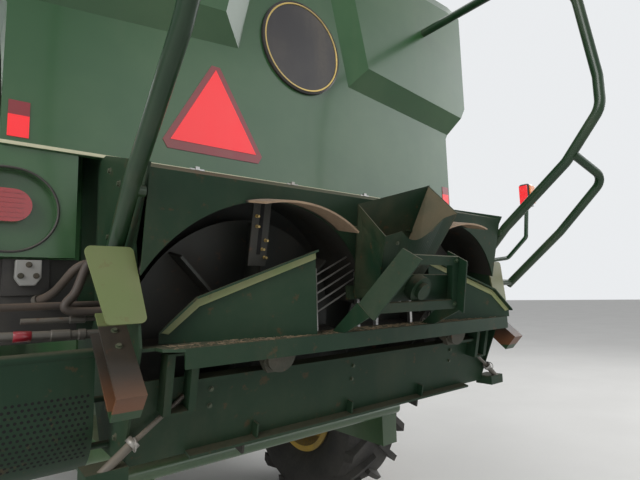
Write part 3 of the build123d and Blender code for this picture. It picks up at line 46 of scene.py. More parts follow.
tailRoot = Vector((0, tailY + 0.296, 1.568))
rotorX = 0.42
sides = ((1, "Left"), (-1, "Right"))


def tailSpot(x, up, out=0.0):
    return Vector((x, 0, 0)) + tailRoot + tailUp * up + tailOut * out


# Node helpers
def addNode(tree, kind, inputs=None, output=0, **props):
    node = tree.nodes.new(kind)
    for key, value in props.items():
        setattr(node, key, value)
    for key, value in (inputs or {}).items():
        if isinstance(value, bpy.types.NodeSocket):
            tree.links.new(value, node.inputs[key])
        else:
            node.inputs[key].default_value = value
    return node.outputs[output]


def noise(tree, place, scale, detail=3.0, roughness=0.55, stretch=None):
    if stretch:
        place = addNode(tree, "ShaderNodeMapping", {"Vector": place, "Scale": stretch})
    return addNode(tree, "ShaderNodeTexNoise",
                   {"Vector": place, "Scale": scale, "Detail": detail, "Roughness": roughness})


def band(tree, value, low, high, outLow=0.0, outHigh=1.0):
    return addNode(tree, "ShaderNodeMapRange",
                   {"Value": value, "From Min": low, "From Max": high, "To Min": outLow, "To Max": outHigh},
                   interpolation_type="SMOOTHSTEP")


def calc(tree, operation, first, second=0.0, clamp=False):
    return addNode(tree, "ShaderNodeMath", {0: first, 1: second}, operation=operation, use_clamp=clamp)


def times(tree, first, second, clamp=False):
    return calc(tree, "MULTIPLY", first, second, clamp)


def zOf(tree, way):
    return addNode(tree, "ShaderNodeSeparateXYZ", {0: way}, output=2)


def reachAlong(tree, place, way):
    return addNode(tree, "ShaderNodeVectorMath", {0: place, 1: way}, output="Value",
                   operation="DOT_PRODUCT")


def blendColour(tree, factor, first, second):
    first, second = (v if isinstance(v, bpy.types.NodeSocket) else (*v, 1.0) for v in (first, second))
    return addNode(tree, "ShaderNodeMix", {0: factor, 6: first, 7: second}, output=2, data_type="RGBA")


def startFinish(name, **values):
    material = bpy.data.materials.new(name)
    material.use_nodes = True
    tree = material.node_tree
    shader = tree.nodes["Principled BSDF"]
    for key, value in values.items():
        shader.inputs[key].default_value = value
    place = tree.nodes.new("ShaderNodeTexCoord").outputs["Object"]
    return material, tree, shader, place


# What a finish has unless it says otherwise. Dust lies on level faces (settled), in patches (film),
# low down (splash) and in runs (streak)
plainLook = dict(
    metal=0.0, coat=0.0, specular=0.5, glow=0.0, film=0.2, settled=0.5, splash=0.25, streak=0.15, rust=0.0,
    dust=(0.235, 0.195, 0.14), bump=0.08, bumpDepth=0.002, grainScale=70.0, patchScale=2.2, zones=())


def paintLook(colour, faded, roughness, **more):
    return {**plainLook, "colour": colour, "faded": faded, "roughness": roughness, **more}


def surfaceFinish(name, look):
    material, tree, shader, place = startFinish(name, Metallic=look["metal"], **{
        "Coat Weight": look["coat"], "Coat Roughness": 0.12, "Specular IOR Level": look["specular"],
        "Emission Color": (*look["colour"], 1.0), "Emission Strength": look["glow"]})
    patches = noise(tree, place, look["patchScale"], 4.0)
    grain = noise(tree, place, look["grainScale"], 3.0)
    runs = noise(tree, place, 7.0, 3.0, stretch=(1.0, 1.0, 0.12))
    facingUp = zOf(tree, tree.nodes.new("ShaderNodeNewGeometry").outputs["Normal"])
    settled = times(tree, band(tree, facingUp, 0.25, 0.95), look["settled"])
    film = times(tree, band(tree, patches, 0.38, 0.68), look["film"])
    splash = times(tree, band(tree, zOf(tree, place), 1.9, 0.3), look["splash"])
    streak = times(tree, band(tree, runs, 0.52, 0.74), look["streak"])
    dust = calc(tree, "ADD", calc(tree, "ADD", settled, film), calc(tree, "ADD", splash, streak))
    dust = times(tree, dust, band(tree, grain, 0.15, 0.75, 0.65, 1.15), clamp=True)
    tone = blendColour(tree, band(tree, patches, 0.3, 0.75), look["colour"], look["faded"])
    for zone in look["zones"]:
        reach = reachAlong(tree, place, zone["along"])
        reach = calc(tree, "ABSOLUTE", reach) if zone.get("mirrored") else reach
        tone = blendColour(tree, band(tree, reach, zone["start"], zone["end"]), tone, zone["colour"])
    tone = blendColour(tree, dust, tone, look["dust"])
    if look["rust"]:
        spots = noise(tree, place, 26.0, 6.0, 0.7)
        rusted = times(tree, band(tree, spots, 0.6, 0.68), look["rust"])
        tone = blendColour(tree, rusted, tone, (0.12, 0.045, 0.018))
    tree.links.new(tone, shader.inputs["Base Color"])
    clean, dusty = look["roughness"], max(look["roughness"], 0.85)
    tree.links.new(band(tree, dust, 0.0, 0.7, clean, dusty), shader.inputs["Roughness"])
    bump = addNode(tree, "ShaderNodeBump", {"Height": grain, "Strength": look["bump"],
                                            "Distance": look["bumpDepth"]})
    tree.links.new(bump, shader.inputs["Normal"])
    return material


shroudPlane = tailOut.dot(tailRoot)
finishes = {
    "hoodPaint": paintLook((0.019, 0.078, 0.022), (0.03, 0.1, 0.032), 0.28, coat=0.35, film=0.05,
        settled=0.12, streak=0.035, splash=0.0, bump=0.02),
    "bodyPaint": paintLook((0.014, 0.064, 0.018), (0.024, 0.085, 0.028), 0.28, coat=0.4, film=0.09,
        settled=0.28, streak=0.07, splash=0.16, bump=0.03),
    # painted shade: the guard tubes' green is darkened towards black for the shade on their backlit side
    "tubeShadePaint": paintLook((0.007, 0.028, 0.01), (0.012, 0.038, 0.014), 0.32, coat=0.15, specular=0.35,
        film=0.05, settled=0.14, streak=0.05, splash=0.0, bump=0.03),
    "paintedHead": paintLook((0.02, 0.045, 0.02), (0.034, 0.058, 0.032), 0.42, metal=0.2, film=0.2,
        settled=0.3, rust=0.4, bump=0.1),
    "spreaderPaint": paintLook((0.008, 0.027, 0.013), (0.014, 0.038, 0.019), 0.46, specular=0.2, film=0.06,
        settled=0.42, streak=0.1, splash=0.05, rust=0.3, bump=0.08, dust=(0.13, 0.105, 0.07)),
    "chamberPaint": paintLook((0.012, 0.016, 0.013), (0.022, 0.022, 0.018), 0.55, film=0.3, settled=0.4,
        streak=0.25, rust=0.4, bump=0.2, dust=(0.058, 0.046, 0.034)),
    "shroudPaint": paintLook((0.014, 0.017, 0.014), (0.024, 0.024, 0.02), 0.5, film=0.3, settled=0.4,
        streak=0.25, rust=0.4, bump=0.2, dust=(0.06, 0.048, 0.036),
        zones=[dict(along=tuple(tailOut), start=shroudPlane + 0.01, end=shroudPlane + 0.022,
                    colour=(0.36, 0.25, 0.16))]),
    # painted light: the side arms are pale yellow-green for the warm light falling on them from the left.
    # Below z 1.65 they turn near black, blend to brown from 1.56 down to 1.47 and are dark green below 1.466
    "armSunlitPaint": paintLook((0.12, 0.16, 0.05), (0.18, 0.18, 0.085), 0.45, film=0.14, settled=0.1, streak=0.1,
        splash=0.0, rust=0.25, bump=0.1, dust=(0.12, 0.085, 0.05),
        zones=[dict(along=(0, 0, -1), start=-1.655, end=-1.65, colour=(0.022, 0.018, 0.014)),
               dict(along=(0, 0, -1), start=-1.56, end=-1.47, colour=(0.13, 0.05, 0.02)),
               dict(along=(0, 0, -1), start=-1.468, end=-1.466, colour=(0.012, 0.045, 0.014))]),
    "chutePaint": paintLook((0.008, 0.027, 0.013), (0.02, 0.036, 0.018), 0.5, film=0.3, specular=0.2,
        settled=0.4, streak=0.15, splash=0.0, rust=0.4, bump=0.1, patchScale=4.5,
        dust=(0.095, 0.075, 0.045)),
    "chuteLining": paintLook((0.085, 0.078, 0.048), (0.13, 0.108, 0.066), 0.7, film=0.35, specular=0.2,
        settled=0.3, splash=0.0, rust=0.4, bump=0.3, patchScale=9.0, dust=(0.11, 0.085, 0.05)),
    # partly dust and partly painted light: the vane lips are pale for the sunlight falling on them
    "lipDustAndSunPaint": paintLook((0.2, 0.25, 0.095), (0.3, 0.31, 0.15), 0.5, film=0.15, settled=0.2, splash=0.0,
        rust=0.3, bump=0.1, patchScale=6.0, dust=(0.16, 0.13, 0.08)),
    "yellowPaint": paintLook((0.78, 0.47, 0.012), (0.68, 0.44, 0.035), 0.36, coat=0.3, film=0.3,
        settled=0.4, splash=0.35, bump=0.05),
    "blackPaint": paintLook((0.014, 0.014, 0.014), (0.026, 0.025, 0.024), 0.42, film=0.1, settled=0.28,
        streak=0.08, splash=0.16, bump=0.08),
    "blackPlastic": paintLook((0.014, 0.014, 0.015), (0.028, 0.028, 0.028), 0.58, film=0.1, settled=0.25,
        bump=0.2, grainScale=260.0, bumpDepth=0.0008),
    "castIron": paintLook((0.03, 0.038, 0.026), (0.06, 0.046, 0.034), 0.6, metal=0.3, film=0.25,
        settled=0.35, rust=0.8, bump=0.35, grainScale=130.0),
    "zincSteel": paintLook((0.42, 0.42, 0.41), (0.26, 0.25, 0.23), 0.38, metal=0.85, film=0.25, settled=0.3,
        rust=0.25, bump=0.1),
    "wornSteel": paintLook((0.125, 0.118, 0.105), (0.075, 0.068, 0.06), 0.5, metal=0.5, film=0.3,
        settled=0.3, rust=0.5, bump=0.15),
    "brightSteel": paintLook((0.62, 0.62, 0.62), (0.5, 0.5, 0.5), 0.16, metal=1.0, film=0.06, settled=0.1,
        bump=0.03),
    "brassZinc": paintLook((0.55, 0.4, 0.13), (0.42, 0.32, 0.14), 0.35, metal=0.8, film=0.3, bump=0.1),
    # painted light: the red reflectors glow with light of their own, though they are no lamp
    "glowingRedReflector": paintLook((0.78, 0.014, 0.022), (0.7, 0.02, 0.026), 0.3, coat=0.3, glow=0.45, film=0.07,
        settled=0.1, streak=0.05, splash=0.0, bump=0.25, grainScale=420.0, bumpDepth=0.0005),
    "darkReflector": paintLook((0.26, 0.01, 0.02), (0.2, 0.012, 0.02), 0.3, coat=0.4, film=0.12,
        settled=0.1, splash=0.0, bump=0.25, grainScale=420.0, bumpDepth=0.0005),
    "hoseRubber": paintLook((0.03, 0.024, 0.02), (0.06, 0.046, 0.036), 0.6, film=0.5, settled=0.6,
        splash=0.1, bump=0.2, dust=(0.12, 0.085, 0.06)),
    "rubber": paintLook((0.012, 0.012, 0.013), (0.024, 0.023, 0.022), 0.7, film=0.3, settled=0.4,
        splash=0.2, bump=0.15),
    "tyreRubber": paintLook((0.014, 0.014, 0.015), (0.032, 0.03, 0.027), 0.74, film=0.16, settled=0.2,
        splash=0.22, streak=0.08, bump=0.4, grainScale=48.0, patchScale=3.4, dust=(0.12, 0.112, 0.098)),
    "seatCloth": paintLook((0.03, 0.03, 0.032), (0.05, 0.05, 0.052), 0.9, film=0.15, settled=0.2, bump=0.6,
        grainScale=520.0, bumpDepth=0.001),
    "lampLens": paintLook((0.42, 0.006, 0.012), (0.34, 0.006, 0.012), 0.12, coat=0.8, film=0.06,
        settled=0.1, splash=0.0, bump=0.3, grainScale=300.0, bumpDepth=0.0006,
        zones=[dict(along=(1, 0, 0), start=1.135, end=1.145, colour=(0.012, 0.045, 0.016), mirrored=True),
               dict(along=(0, 0, 1), start=2.15, end=2.153, colour=(0.014, 0.014, 0.014))]),
    "amberLens": paintLook((0.85, 0.22, 0.01), (0.75, 0.2, 0.012), 0.32, coat=0.15, film=0.05, settled=0.1,
        splash=0.0, bump=0.3, grainScale=300.0, bumpDepth=0.0006),
    "clearLens": paintLook((0.7, 0.69, 0.64), (0.6, 0.59, 0.55), 0.1, coat=0.8, film=0.08, settled=0.15,
        bump=0.3, grainScale=240.0, bumpDepth=0.0008),
    # painted highlight: the pale strip along the hood seam stands in for light caught on the edge of the
    # hood's lip
    "seamHighlight": paintLook((0.68, 0.66, 0.46), (0.56, 0.55, 0.38), 0.42, film=0.12, settled=0.15,
        streak=0.05, splash=0.0, bump=0.05),
    "blockAlloy": paintLook((0.36, 0.36, 0.35), (0.27, 0.27, 0.25), 0.6, metal=0.2, film=0.2, settled=0.2,
        bump=0.15),
    "darkPlate": paintLook((0.016, 0.013, 0.014), (0.024, 0.02, 0.02), 0.42, coat=0.1, film=0.12,
        settled=0.1, splash=0.0, bump=0.04),
    # painted shade: near-black flat plates stand in for the shade inside holes and slots
    "holeShade": paintLook((0.003, 0.003, 0.003), (0.005, 0.005, 0.005), 0.95, film=0.0, settled=0.0,
        streak=0.0, splash=0.0, bump=0.0),
    "straw": paintLook((0.25, 0.175, 0.095), (0.15, 0.105, 0.065), 0.8, film=0.2, bump=0.2),
}
paint = {name: surfaceFinish(name, look) for name, look in finishes.items()}


def glassFinish():
    tint = (0.72, 0.82, 0.78)
    material, tree, shader, place = startFinish("cabGlass", **{
        "Transmission Weight": 0.97, "IOR": 1.15, "Base Color": (*tint, 1.0)})
    film = noise(tree, place, 3.0, 5.0)
    tree.links.new(band(tree, film, 0.3, 0.8, 0.0, 0.03), shader.inputs["Roughness"])
    tone = blendColour(tree, band(tree, film, 0.45, 0.8, 0.0, 0.35), tint, (0.52, 0.54, 0.48))
    tree.links.new(tone, shader.inputs["Base Color"])
    return material


paint["glass"] = glassFinish()
print("finishes made")

nodeFinish = {
    "hoodPaint": "rear_hood hood_skirts",
    "bodyPaint": "separator_body side_shield_left side_shield_right grain_tank tank_cover_left "
                 "tank_cover_right engine_housing unloading_auger auger_turret auger_saddle feederhouse "
                 "cab_frame cab_door cab_roof front_axle rear_axle knuckle_left knuckle_right frame",
    "tubeShadePaint": "guard_tubes",
    "spreaderPaint": "spreader_frame spreader_tray deflector_vanes centre_bracket tailboard drive_shield "
                     "chopper_housing",
    "armSunlitPaint": "side_arms",
    "chutePaint": "centre_chute",
    "chamberPaint": "rotor_left rotor_right",
    "shroudPaint": "rotor_shrouds",
    "yellowPaint": "rim_front_left rim_front_right rim_rear_left rim_rear_right",
    "blackPaint": "platform ladder feeder_carrier stacks steering_column lift_barrel_left lift_barrel_right "
                  "rotary_screen",
    "brightSteel": "lift_rod_left lift_rod_right",
    "tyreRubber": "tyre_front_left tyre_front_right tyre_rear_left tyre_rear_right",
    "lampLens": "tail_lamps",
    "clearLens": "work_lights",
    "blackPlastic": "mirrors",
    "glass": "cab_glass door_glass",
    "seatCloth": "seat",
    "castIron": "engine rotor_motors",
}
for finish, nodes in nodeFinish.items():
    for node in nodes.split():
        slots = cadNodes[node].data.materials
        slots.clear()
        slots.append(paint[finish])
print("solids painted")


# Piece helpers. A shape is a pair of corner list and face list
def placeObject(name, data):
    item = bpy.data.objects.new(name, data)
    bpy.context.scene.collection.objects.link(item)
    return item


def joined(shapes):
    verts, faces = [], []
    for shapeVerts, shapeFaces in shapes:
        start = len(verts)
        verts += shapeVerts
        faces += [[i + start for i in face] for face in shapeFaces]
    return verts, faces


def makePiece(name, shapes, finish, body="chassis", bevel=0.0, smooth=False):
    verts, faces = joined(shapes)
    mesh = bpy.data.meshes.new(name)
    mesh.from_pydata([tuple(v) for v in verts], [], faces)
    built = bmesh.new()
    built.from_mesh(mesh)
    bmesh.ops.recalc_face_normals(built, faces=built.faces)
    if bevel:
        sharp = [e for e in built.edges if len(e.link_faces) == 2 and e.calc_face_angle(0.0) > 0.5]
        bmesh.ops.bevel(built, geom=sharp, offset=bevel, segments=2, affect="EDGES", profile=0.6)
    built.to_mesh(mesh)
    built.free()
    if smooth:
        mesh.shade_smooth()
    mesh.materials.append(paint[finish])
    piece = placeObject(name, mesh)
    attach(piece, body)
    return piece


def prism(outline, origin, across, up, thick):
    across, up = Vector(across).normalized(), Vector(up).normalized()
    out = across.cross(up)
    count = len(outline)
    base = [Vector(origin) + across * a + up * b for a, b in outline]
    verts = base + [v + out * thick for v in base]
    faces = [list(range(count)), list(range(2 * count - 1, count - 1, -1))]
    faces += [[i, (i + 1) % count, (i + 1) % count + count, i + count] for i in range(count)]
    return verts, faces


def rectangle(low, high):
    return [low, (high[0], low[1]), high, (low[0], high[1])]


def block(low, high):
    outline = rectangle((low[0], low[1]), (high[0], high[1]))
    return prism(outline, (0, 0, low[2]), (1, 0, 0), (0, 1, 0), high[2] - low[2])


def slab(x, half, ySpan, zSpan):
    return block((x - half, ySpan[0], zSpan[0]), (x + half, ySpan[1], zSpan[1]))


def plate(top, foot, out):
    count = len(top)
    back = 2 * count
    verts = top + foot + [v + out for v in top + foot]
    faces = []
    for i in range(count - 1):
        front = [i, i + 1, count + i + 1, count + i]
        faces += [front, [k + back for k in reversed(front)], [i, i + back, i + 1 + back, i + 1],
                  [count + i, count + i + 1, back + count + i + 1, back + count + i]]
    for i in (0, count - 1):
        faces.append([i, i + count, i + count + back, i + back])
    return verts, faces


def lathe(profile, origin, axis, steps=32, closed=False):
    axis = Vector(axis).normalized()
    side = axis.orthogonal().normalized()
    other = axis.cross(side)
    verts, faces = [], []
    for radius, along in profile:
        for step in range(steps):
            turn = 2 * math.pi * step / steps
            spoke = side * math.cos(turn) + other * math.sin(turn)
            verts.append(Vector(origin) + axis * along + spoke * radius)
    rings = len(profile)
    for ring in range(rings if closed else rings - 1):
        here, above = ring * steps, (ring + 1) % rings * steps
        for step in range(steps):
            ahead = (step + 1) % steps
            faces.append([here + step, here + ahead, above + ahead, above + step])
    if not closed:
        faces.append(list(range(steps))[::-1])
        faces.append(list(range((rings - 1) * steps, rings * steps)))
    return verts, faces


def hoop(inner, outer, half, centre, axis, steps):
    profile = [(inner, -half), (outer, -half), (outer, half), (inner, half)]
    return lathe(profile, centre, axis, steps, closed=True)


def circle(centre, radius, count, first=(0, 1, 0), second=(0, 0, 1), start=0.0):
    turns = [start + 2 * math.pi * n / count for n in range(count)]
    first, second = Vector(first), Vector(second)
    return [Vector(centre) + first * (radius * math.cos(t)) + second * (radius * math.sin(t)) for t in turns]


def hit(node, start, way):
    holder = cadNodes[node]
    back = holder.matrix_world.inverted()
    local = (back.to_3x3() @ Vector(way)).normalized()
    found, place, normal, index = holder.ray_cast(back @ Vector(start), local)
    if not found:
        return None
    return holder.matrix_world @ place, (holder.matrix_world.to_3x3() @ normal).normalized()


def tube(points, radius, edges=10):
    curve = bpy.data.curves.new("run", "CURVE")
    curve.dimensions = "3D"
    spline = curve.splines.new("NURBS")
    spline.points.add(len(points) - 1)
    for spot, point in zip(spline.points, points):
        spot.co = (*point, 1.0)
    spline.order_u = 3
    spline.use_endpoint_u = True
    spline.resolution_u = 6
    curve.bevel_depth = radius
    curve.bevel_resolution = max(1, edges // 4)
    curve.use_fill_caps = True
    holder = bpy.data.objects.new("run", curve)
    mesh = bpy.data.meshes.new_from_object(holder)
    verts = [v.co.copy() for v in mesh.vertices]
    faces = [list(p.vertices) for p in mesh.polygons]
    bpy.data.objects.remove(holder)
    bpy.data.curves.remove(curve)
    bpy.data.meshes.remove(mesh)
    return verts, faces


# Node trees for what repeats: bolts, ribs, holes and straw
def growTree(name, sizes):
    tree = bpy.data.node_groups.new(name, "GeometryNodeTree")
    tree.interface.new_socket("Geometry", in_out="INPUT", socket_type="NodeSocketGeometry")
    for label, value in sizes.items():
        kind = "NodeSocketInt" if isinstance(value, int) else "NodeSocketFloat"
        tree.interface.new_socket(label, in_out="INPUT", socket_type=kind).default_value = value
    tree.interface.new_socket("Finish", in_out="INPUT", socket_type="NodeSocketMaterial")
    tree.interface.new_socket("Geometry", in_out="OUTPUT", socket_type="NodeSocketGeometry")
    return tree, tree.nodes.new("NodeGroupInput").outputs, tree.nodes.new("NodeGroupOutput")


def closeTree(tree, given, end, instances):
    real = addNode(tree, "GeometryNodeRealizeInstances", {0: instances})
    done = addNode(tree, "GeometryNodeSetMaterial", {"Geometry": real, "Material": given["Finish"]})
    tree.links.new(done, end.inputs[0])
    return tree


def vector(tree, x=0.0, y=0.0, z=0.0):
    return addNode(tree, "ShaderNodeCombineXYZ", {0: x, 1: y, 2: z})


def onPoints(tree, points, instance, **more):
    return addNode(tree, "GeometryNodeInstanceOnPoints", {"Points": points, "Instance": instance, **more})


def onFacing(tree, given, instance):
    facing = addNode(tree, "GeometryNodeInputNamedAttribute", {"Name": "facing"}, data_type="FLOAT_VECTOR")
    turn = addNode(tree, "FunctionNodeAlignRotationToVector", {"Vector": facing}, axis="Z")
    return onPoints(tree, given["Geometry"], instance, Rotation=turn)


def cylinder(tree, edges, radius, depth):
    return addNode(tree, "GeometryNodeMeshCylinder", {"Vertices": edges, "Radius": radius, "Depth": depth})


def boltTree():
    tree, given, end = growTree("bolts", {"Head Radius": 0.009, "Head Height": 0.008, "Washer Radius": 0.013})
    tall = given["Head Height"]
    head = cylinder(tree, 6, given["Head Radius"], tall)
    lift = vector(tree, z=times(tree, tall, 0.75))
    head = addNode(tree, "GeometryNodeTransform", {"Geometry": head, "Translation": lift})
    washer = cylinder(tree, 14, given["Washer Radius"], times(tree, tall, 0.5))
    both = tree.nodes.new("GeometryNodeJoinGeometry")
    for part in (washer, head):
        tree.links.new(part, both.inputs[0])
    return closeTree(tree, given, end, onFacing(tree, given, both.outputs[0]))


def ribTree():
    labels = [kind + axis for kind in ("Step ", "Size ") for axis in "XYZ"]
    tree, given, end = growTree("ribs", {"Count": 5, **{label: 0.1 for label in labels}})
    step = vector(tree, *(given[label] for label in labels[:3]))
    size = vector(tree, *(given[label] for label in labels[3:]))
    rib = addNode(tree, "GeometryNodeMeshCube", {"Size": size})
    row = addNode(tree, "GeometryNodeMeshLine", {"Count": given["Count"], "Offset": step})
    return closeTree(tree, given, end, onPoints(tree, given["Geometry"], onPoints(tree, row, rib)))


def holeTree():
    tree, given, end = growTree("holes", {"Hole Radius": 0.004, "Sides": 8})
    hole = addNode(tree, "GeometryNodeMeshCircle",
                   {"Vertices": given["Sides"], "Radius": given["Hole Radius"]}, fill_type="NGON")
    return closeTree(tree, given, end, onFacing(tree, given, hole))


def strawTree():
    tree, given, end = growTree("straw", {"Density": 300.0, "Seed": 4, "Length": 0.02, "Width": 0.0016})
    spots = addNode(tree, "GeometryNodeDistributePointsOnFaces",
                    {"Mesh": given["Geometry"], "Density": given["Density"], "Seed": given["Seed"]})
    size = vector(tree, given["Length"], given["Width"], given["Width"])
    stalk = addNode(tree, "GeometryNodeMeshCube", {"Size": size})
    turn = addNode(tree, "FunctionNodeRandomValue",
                   {0: (-0.25, -0.25, 0.0), 1: (0.25, 0.25, 6.28), "Seed": 7}, data_type="FLOAT_VECTOR")
    size = addNode(tree, "FunctionNodeRandomValue", {2: 0.3, 3: 1.4, "Seed": 9}, output=1, data_type="FLOAT")
    return closeTree(tree, given, end, onPoints(tree, spots, stalk, Rotation=turn, Scale=size))


trees = {"bolts": boltTree(), "ribs": ribTree(), "holes": holeTree(), "straw": strawTree()}
print("node trees made")


def grow(name, kind, mesh, sizes, finish, body="chassis"):
    base = placeObject(name + "Base", mesh)
    modifier = base.modifiers.new("grow", "NODES")
    modifier.node_group = trees[kind]
    given = {**sizes, "Finish": paint[finish]}
    for item in trees[kind].interface.items_tree:
        if item.in_out == "INPUT" and item.name in given:
            modifier[item.identifier] = given[item.name]
    depsgraph = bpy.context.evaluated_depsgraph_get()
    grown = bpy.data.meshes.new_from_object(base.evaluated_get(depsgraph), depsgraph=depsgraph)
    grown.name = name
    bpy.data.objects.remove(base)
    if not grown.materials:
        grown.materials.append(paint[finish])
    piece = placeObject(name, grown)
    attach(piece, body)
    return piece


def pointMesh(name, spots):
    mesh = bpy.data.meshes.new(name)
    mesh.from_pydata([tuple(place) for place, facing in spots], [], [])
    facing = mesh.attributes.new("facing", "FLOAT_VECTOR", "POINT")
    facing.data.foreach_set("vector", [c for place, way in spots for c in Vector(way).normalized()])
    return mesh


# The sizes of a bolt are its head's radius, its head's height and its washer's radius
def bolts(name, spots, finish, sizes, body="chassis"):
    labels = ("Head Radius", "Head Height", "Washer Radius")
    return grow(name, "bolts", pointMesh(name, spots), dict(zip(labels, sizes)), finish, body)


def boltsOn(name, node, starts, way, finish, sizes, body="chassis"):
    spots = [spot for spot in (hit(node, start, way) for start in starts) if spot]
    print(name, len(spots), "of", len(starts), "seated")
    return bolts(name, spots, finish, sizes, body)


def ribs(name, starts, count, step, size, finish, body="chassis"):
    mesh = bpy.data.meshes.new(name)
    mesh.from_pydata(starts, [], [])
    sizes = {"Count": count}
    for axis, ahead, wide in zip("XYZ", step, size):
        sizes.update({"Step " + axis: ahead, "Size " + axis: wide})
    return grow(name, "ribs", mesh, sizes, finish, body)


# Camera and light
def placeCamera():
    view = {"place": (1.156, 5.03, 1.72), "look": (-0.6246, -0.7724, 0.1151), "roll": -1.54, "lens": 25.67}
    data = bpy.data.cameras.new("camera")
    camera = placeObject("camera", data)
    data.sensor_width = 36.0
    data.sensor_fit = "HORIZONTAL"
    data.lens = view["lens"]
    data.clip_start, data.clip_end = 0.02, 200.0
    look = Vector(view["look"]).normalized()
    right = look.cross(Vector((0, 0, 1))).normalized()
    up = right.cross(look)
    roll = math.radians(view["roll"])
    across = right * math.cos(roll) + up * math.sin(roll)
    turn = Matrix((across, across.cross(look), -look)).transposed().to_4x4()
    camera.matrix_world = Matrix.Translation(view["place"]) @ turn
    bpy.context.scene.camera = camera


# Each lamp has its place, the place it shines at, its width and its power
lamps = {
    "key": ((8.5, 7.0, 6.5), (0.2, 3.6, 1.9), 5.5, 700.0),
    "side": ((-9.5, 4.5, 7.0), (0, 3.2, 1.8), 7.0, 240.0),
    "front": ((6.0, -8.5, 10.5), (0, -1.0, 1.6), 6.0, 820.0),
    "top": ((0, 1.0, 11.0), (0, 1.0, 0), 8.0, 380.0),
}


def lightScene():
    light = {"sky": (0.96, 0.98, 1.0, 1.0), "world": 0.5, "seen": 0.86, "sheen": 1.8,
             "sheenFrom": (-0.89, 0.45, 0.05)}
    for name, (place, aim, wide, power) in lamps.items():
        data = bpy.data.lights.new(name, "AREA")
        data.shape, data.size, data.energy = "SQUARE", wide, power
        lamp = placeObject(name, data)
        lamp.location = place
        lamp.rotation_mode = "QUATERNION"
        lamp.rotation_quaternion = (Vector(aim) - Vector(place)).to_track_quat("-Z", "Y")
    world = bpy.context.scene.world or bpy.data.worlds.new("world")
    bpy.context.scene.world = world
    world.use_nodes = True
    tree = world.node_tree
    tree.nodes.clear()
    rays = tree.nodes.new("ShaderNodeLightPath").outputs
    seen = calc(tree, "MAXIMUM", rays["Is Camera Ray"], rays["Is Transmission Ray"])
    strength = band(tree, seen, 0.0, 1.0, light["world"], light["seen"])
    way = tree.nodes.new("ShaderNodeTexCoord").outputs["Generated"]
    facing = reachAlong(tree, way, light["sheenFrom"])
    level = band(tree, zOf(tree, way), 0.42, 0.54, 1.0, 0.15)  # roofs seen from above stay green
    sheen = times(tree, level, band(tree, facing, 0.3, 1.0, 0.15, light["sheen"]))
    sheen = times(tree, rays["Is Glossy Ray"], sheen)
    strength = calc(tree, "ADD", strength, sheen)
    shade = addNode(tree, "ShaderNodeBackground", {"Color": light["sky"], "Strength": strength})
    tree.links.new(shade, tree.nodes.new("ShaderNodeOutputWorld").inputs[0])
    bpy.context.scene.view_settings.view_transform = "Standard"


def layFloor():
    ground = {"half": 60, "z": -0.001, "pale": (0.7, 0.69, 0.67), "drift": (0.67, 0.66, 0.64),
              "grit": (0.6, 0.59, 0.57)}
    corners = rectangle((-ground["half"], -ground["half"]), (ground["half"], ground["half"]))
    mesh = bpy.data.meshes.new("floor")
    mesh.from_pydata([(*corner, ground["z"]) for corner in corners], [], [[0, 1, 2, 3]])
    material, tree, shader, place = startFinish("floor", Roughness=0.9)
    grit = noise(tree, place, 30.0, 4.0)
    drift = noise(tree, place, 0.8, 3.0)
    tone = blendColour(tree, band(tree, drift, 0.3, 0.7), ground["pale"], ground["drift"])
    tone = blendColour(tree, band(tree, grit, 0.55, 0.75, 0.0, 0.2), tone, ground["grit"])
    tree.links.new(tone, shader.inputs["Base Color"])
    mesh.materials.append(material)
    floor = placeObject("floor", mesh)


placeCamera()
lightScene()
layFloor()
print("camera and light placed")
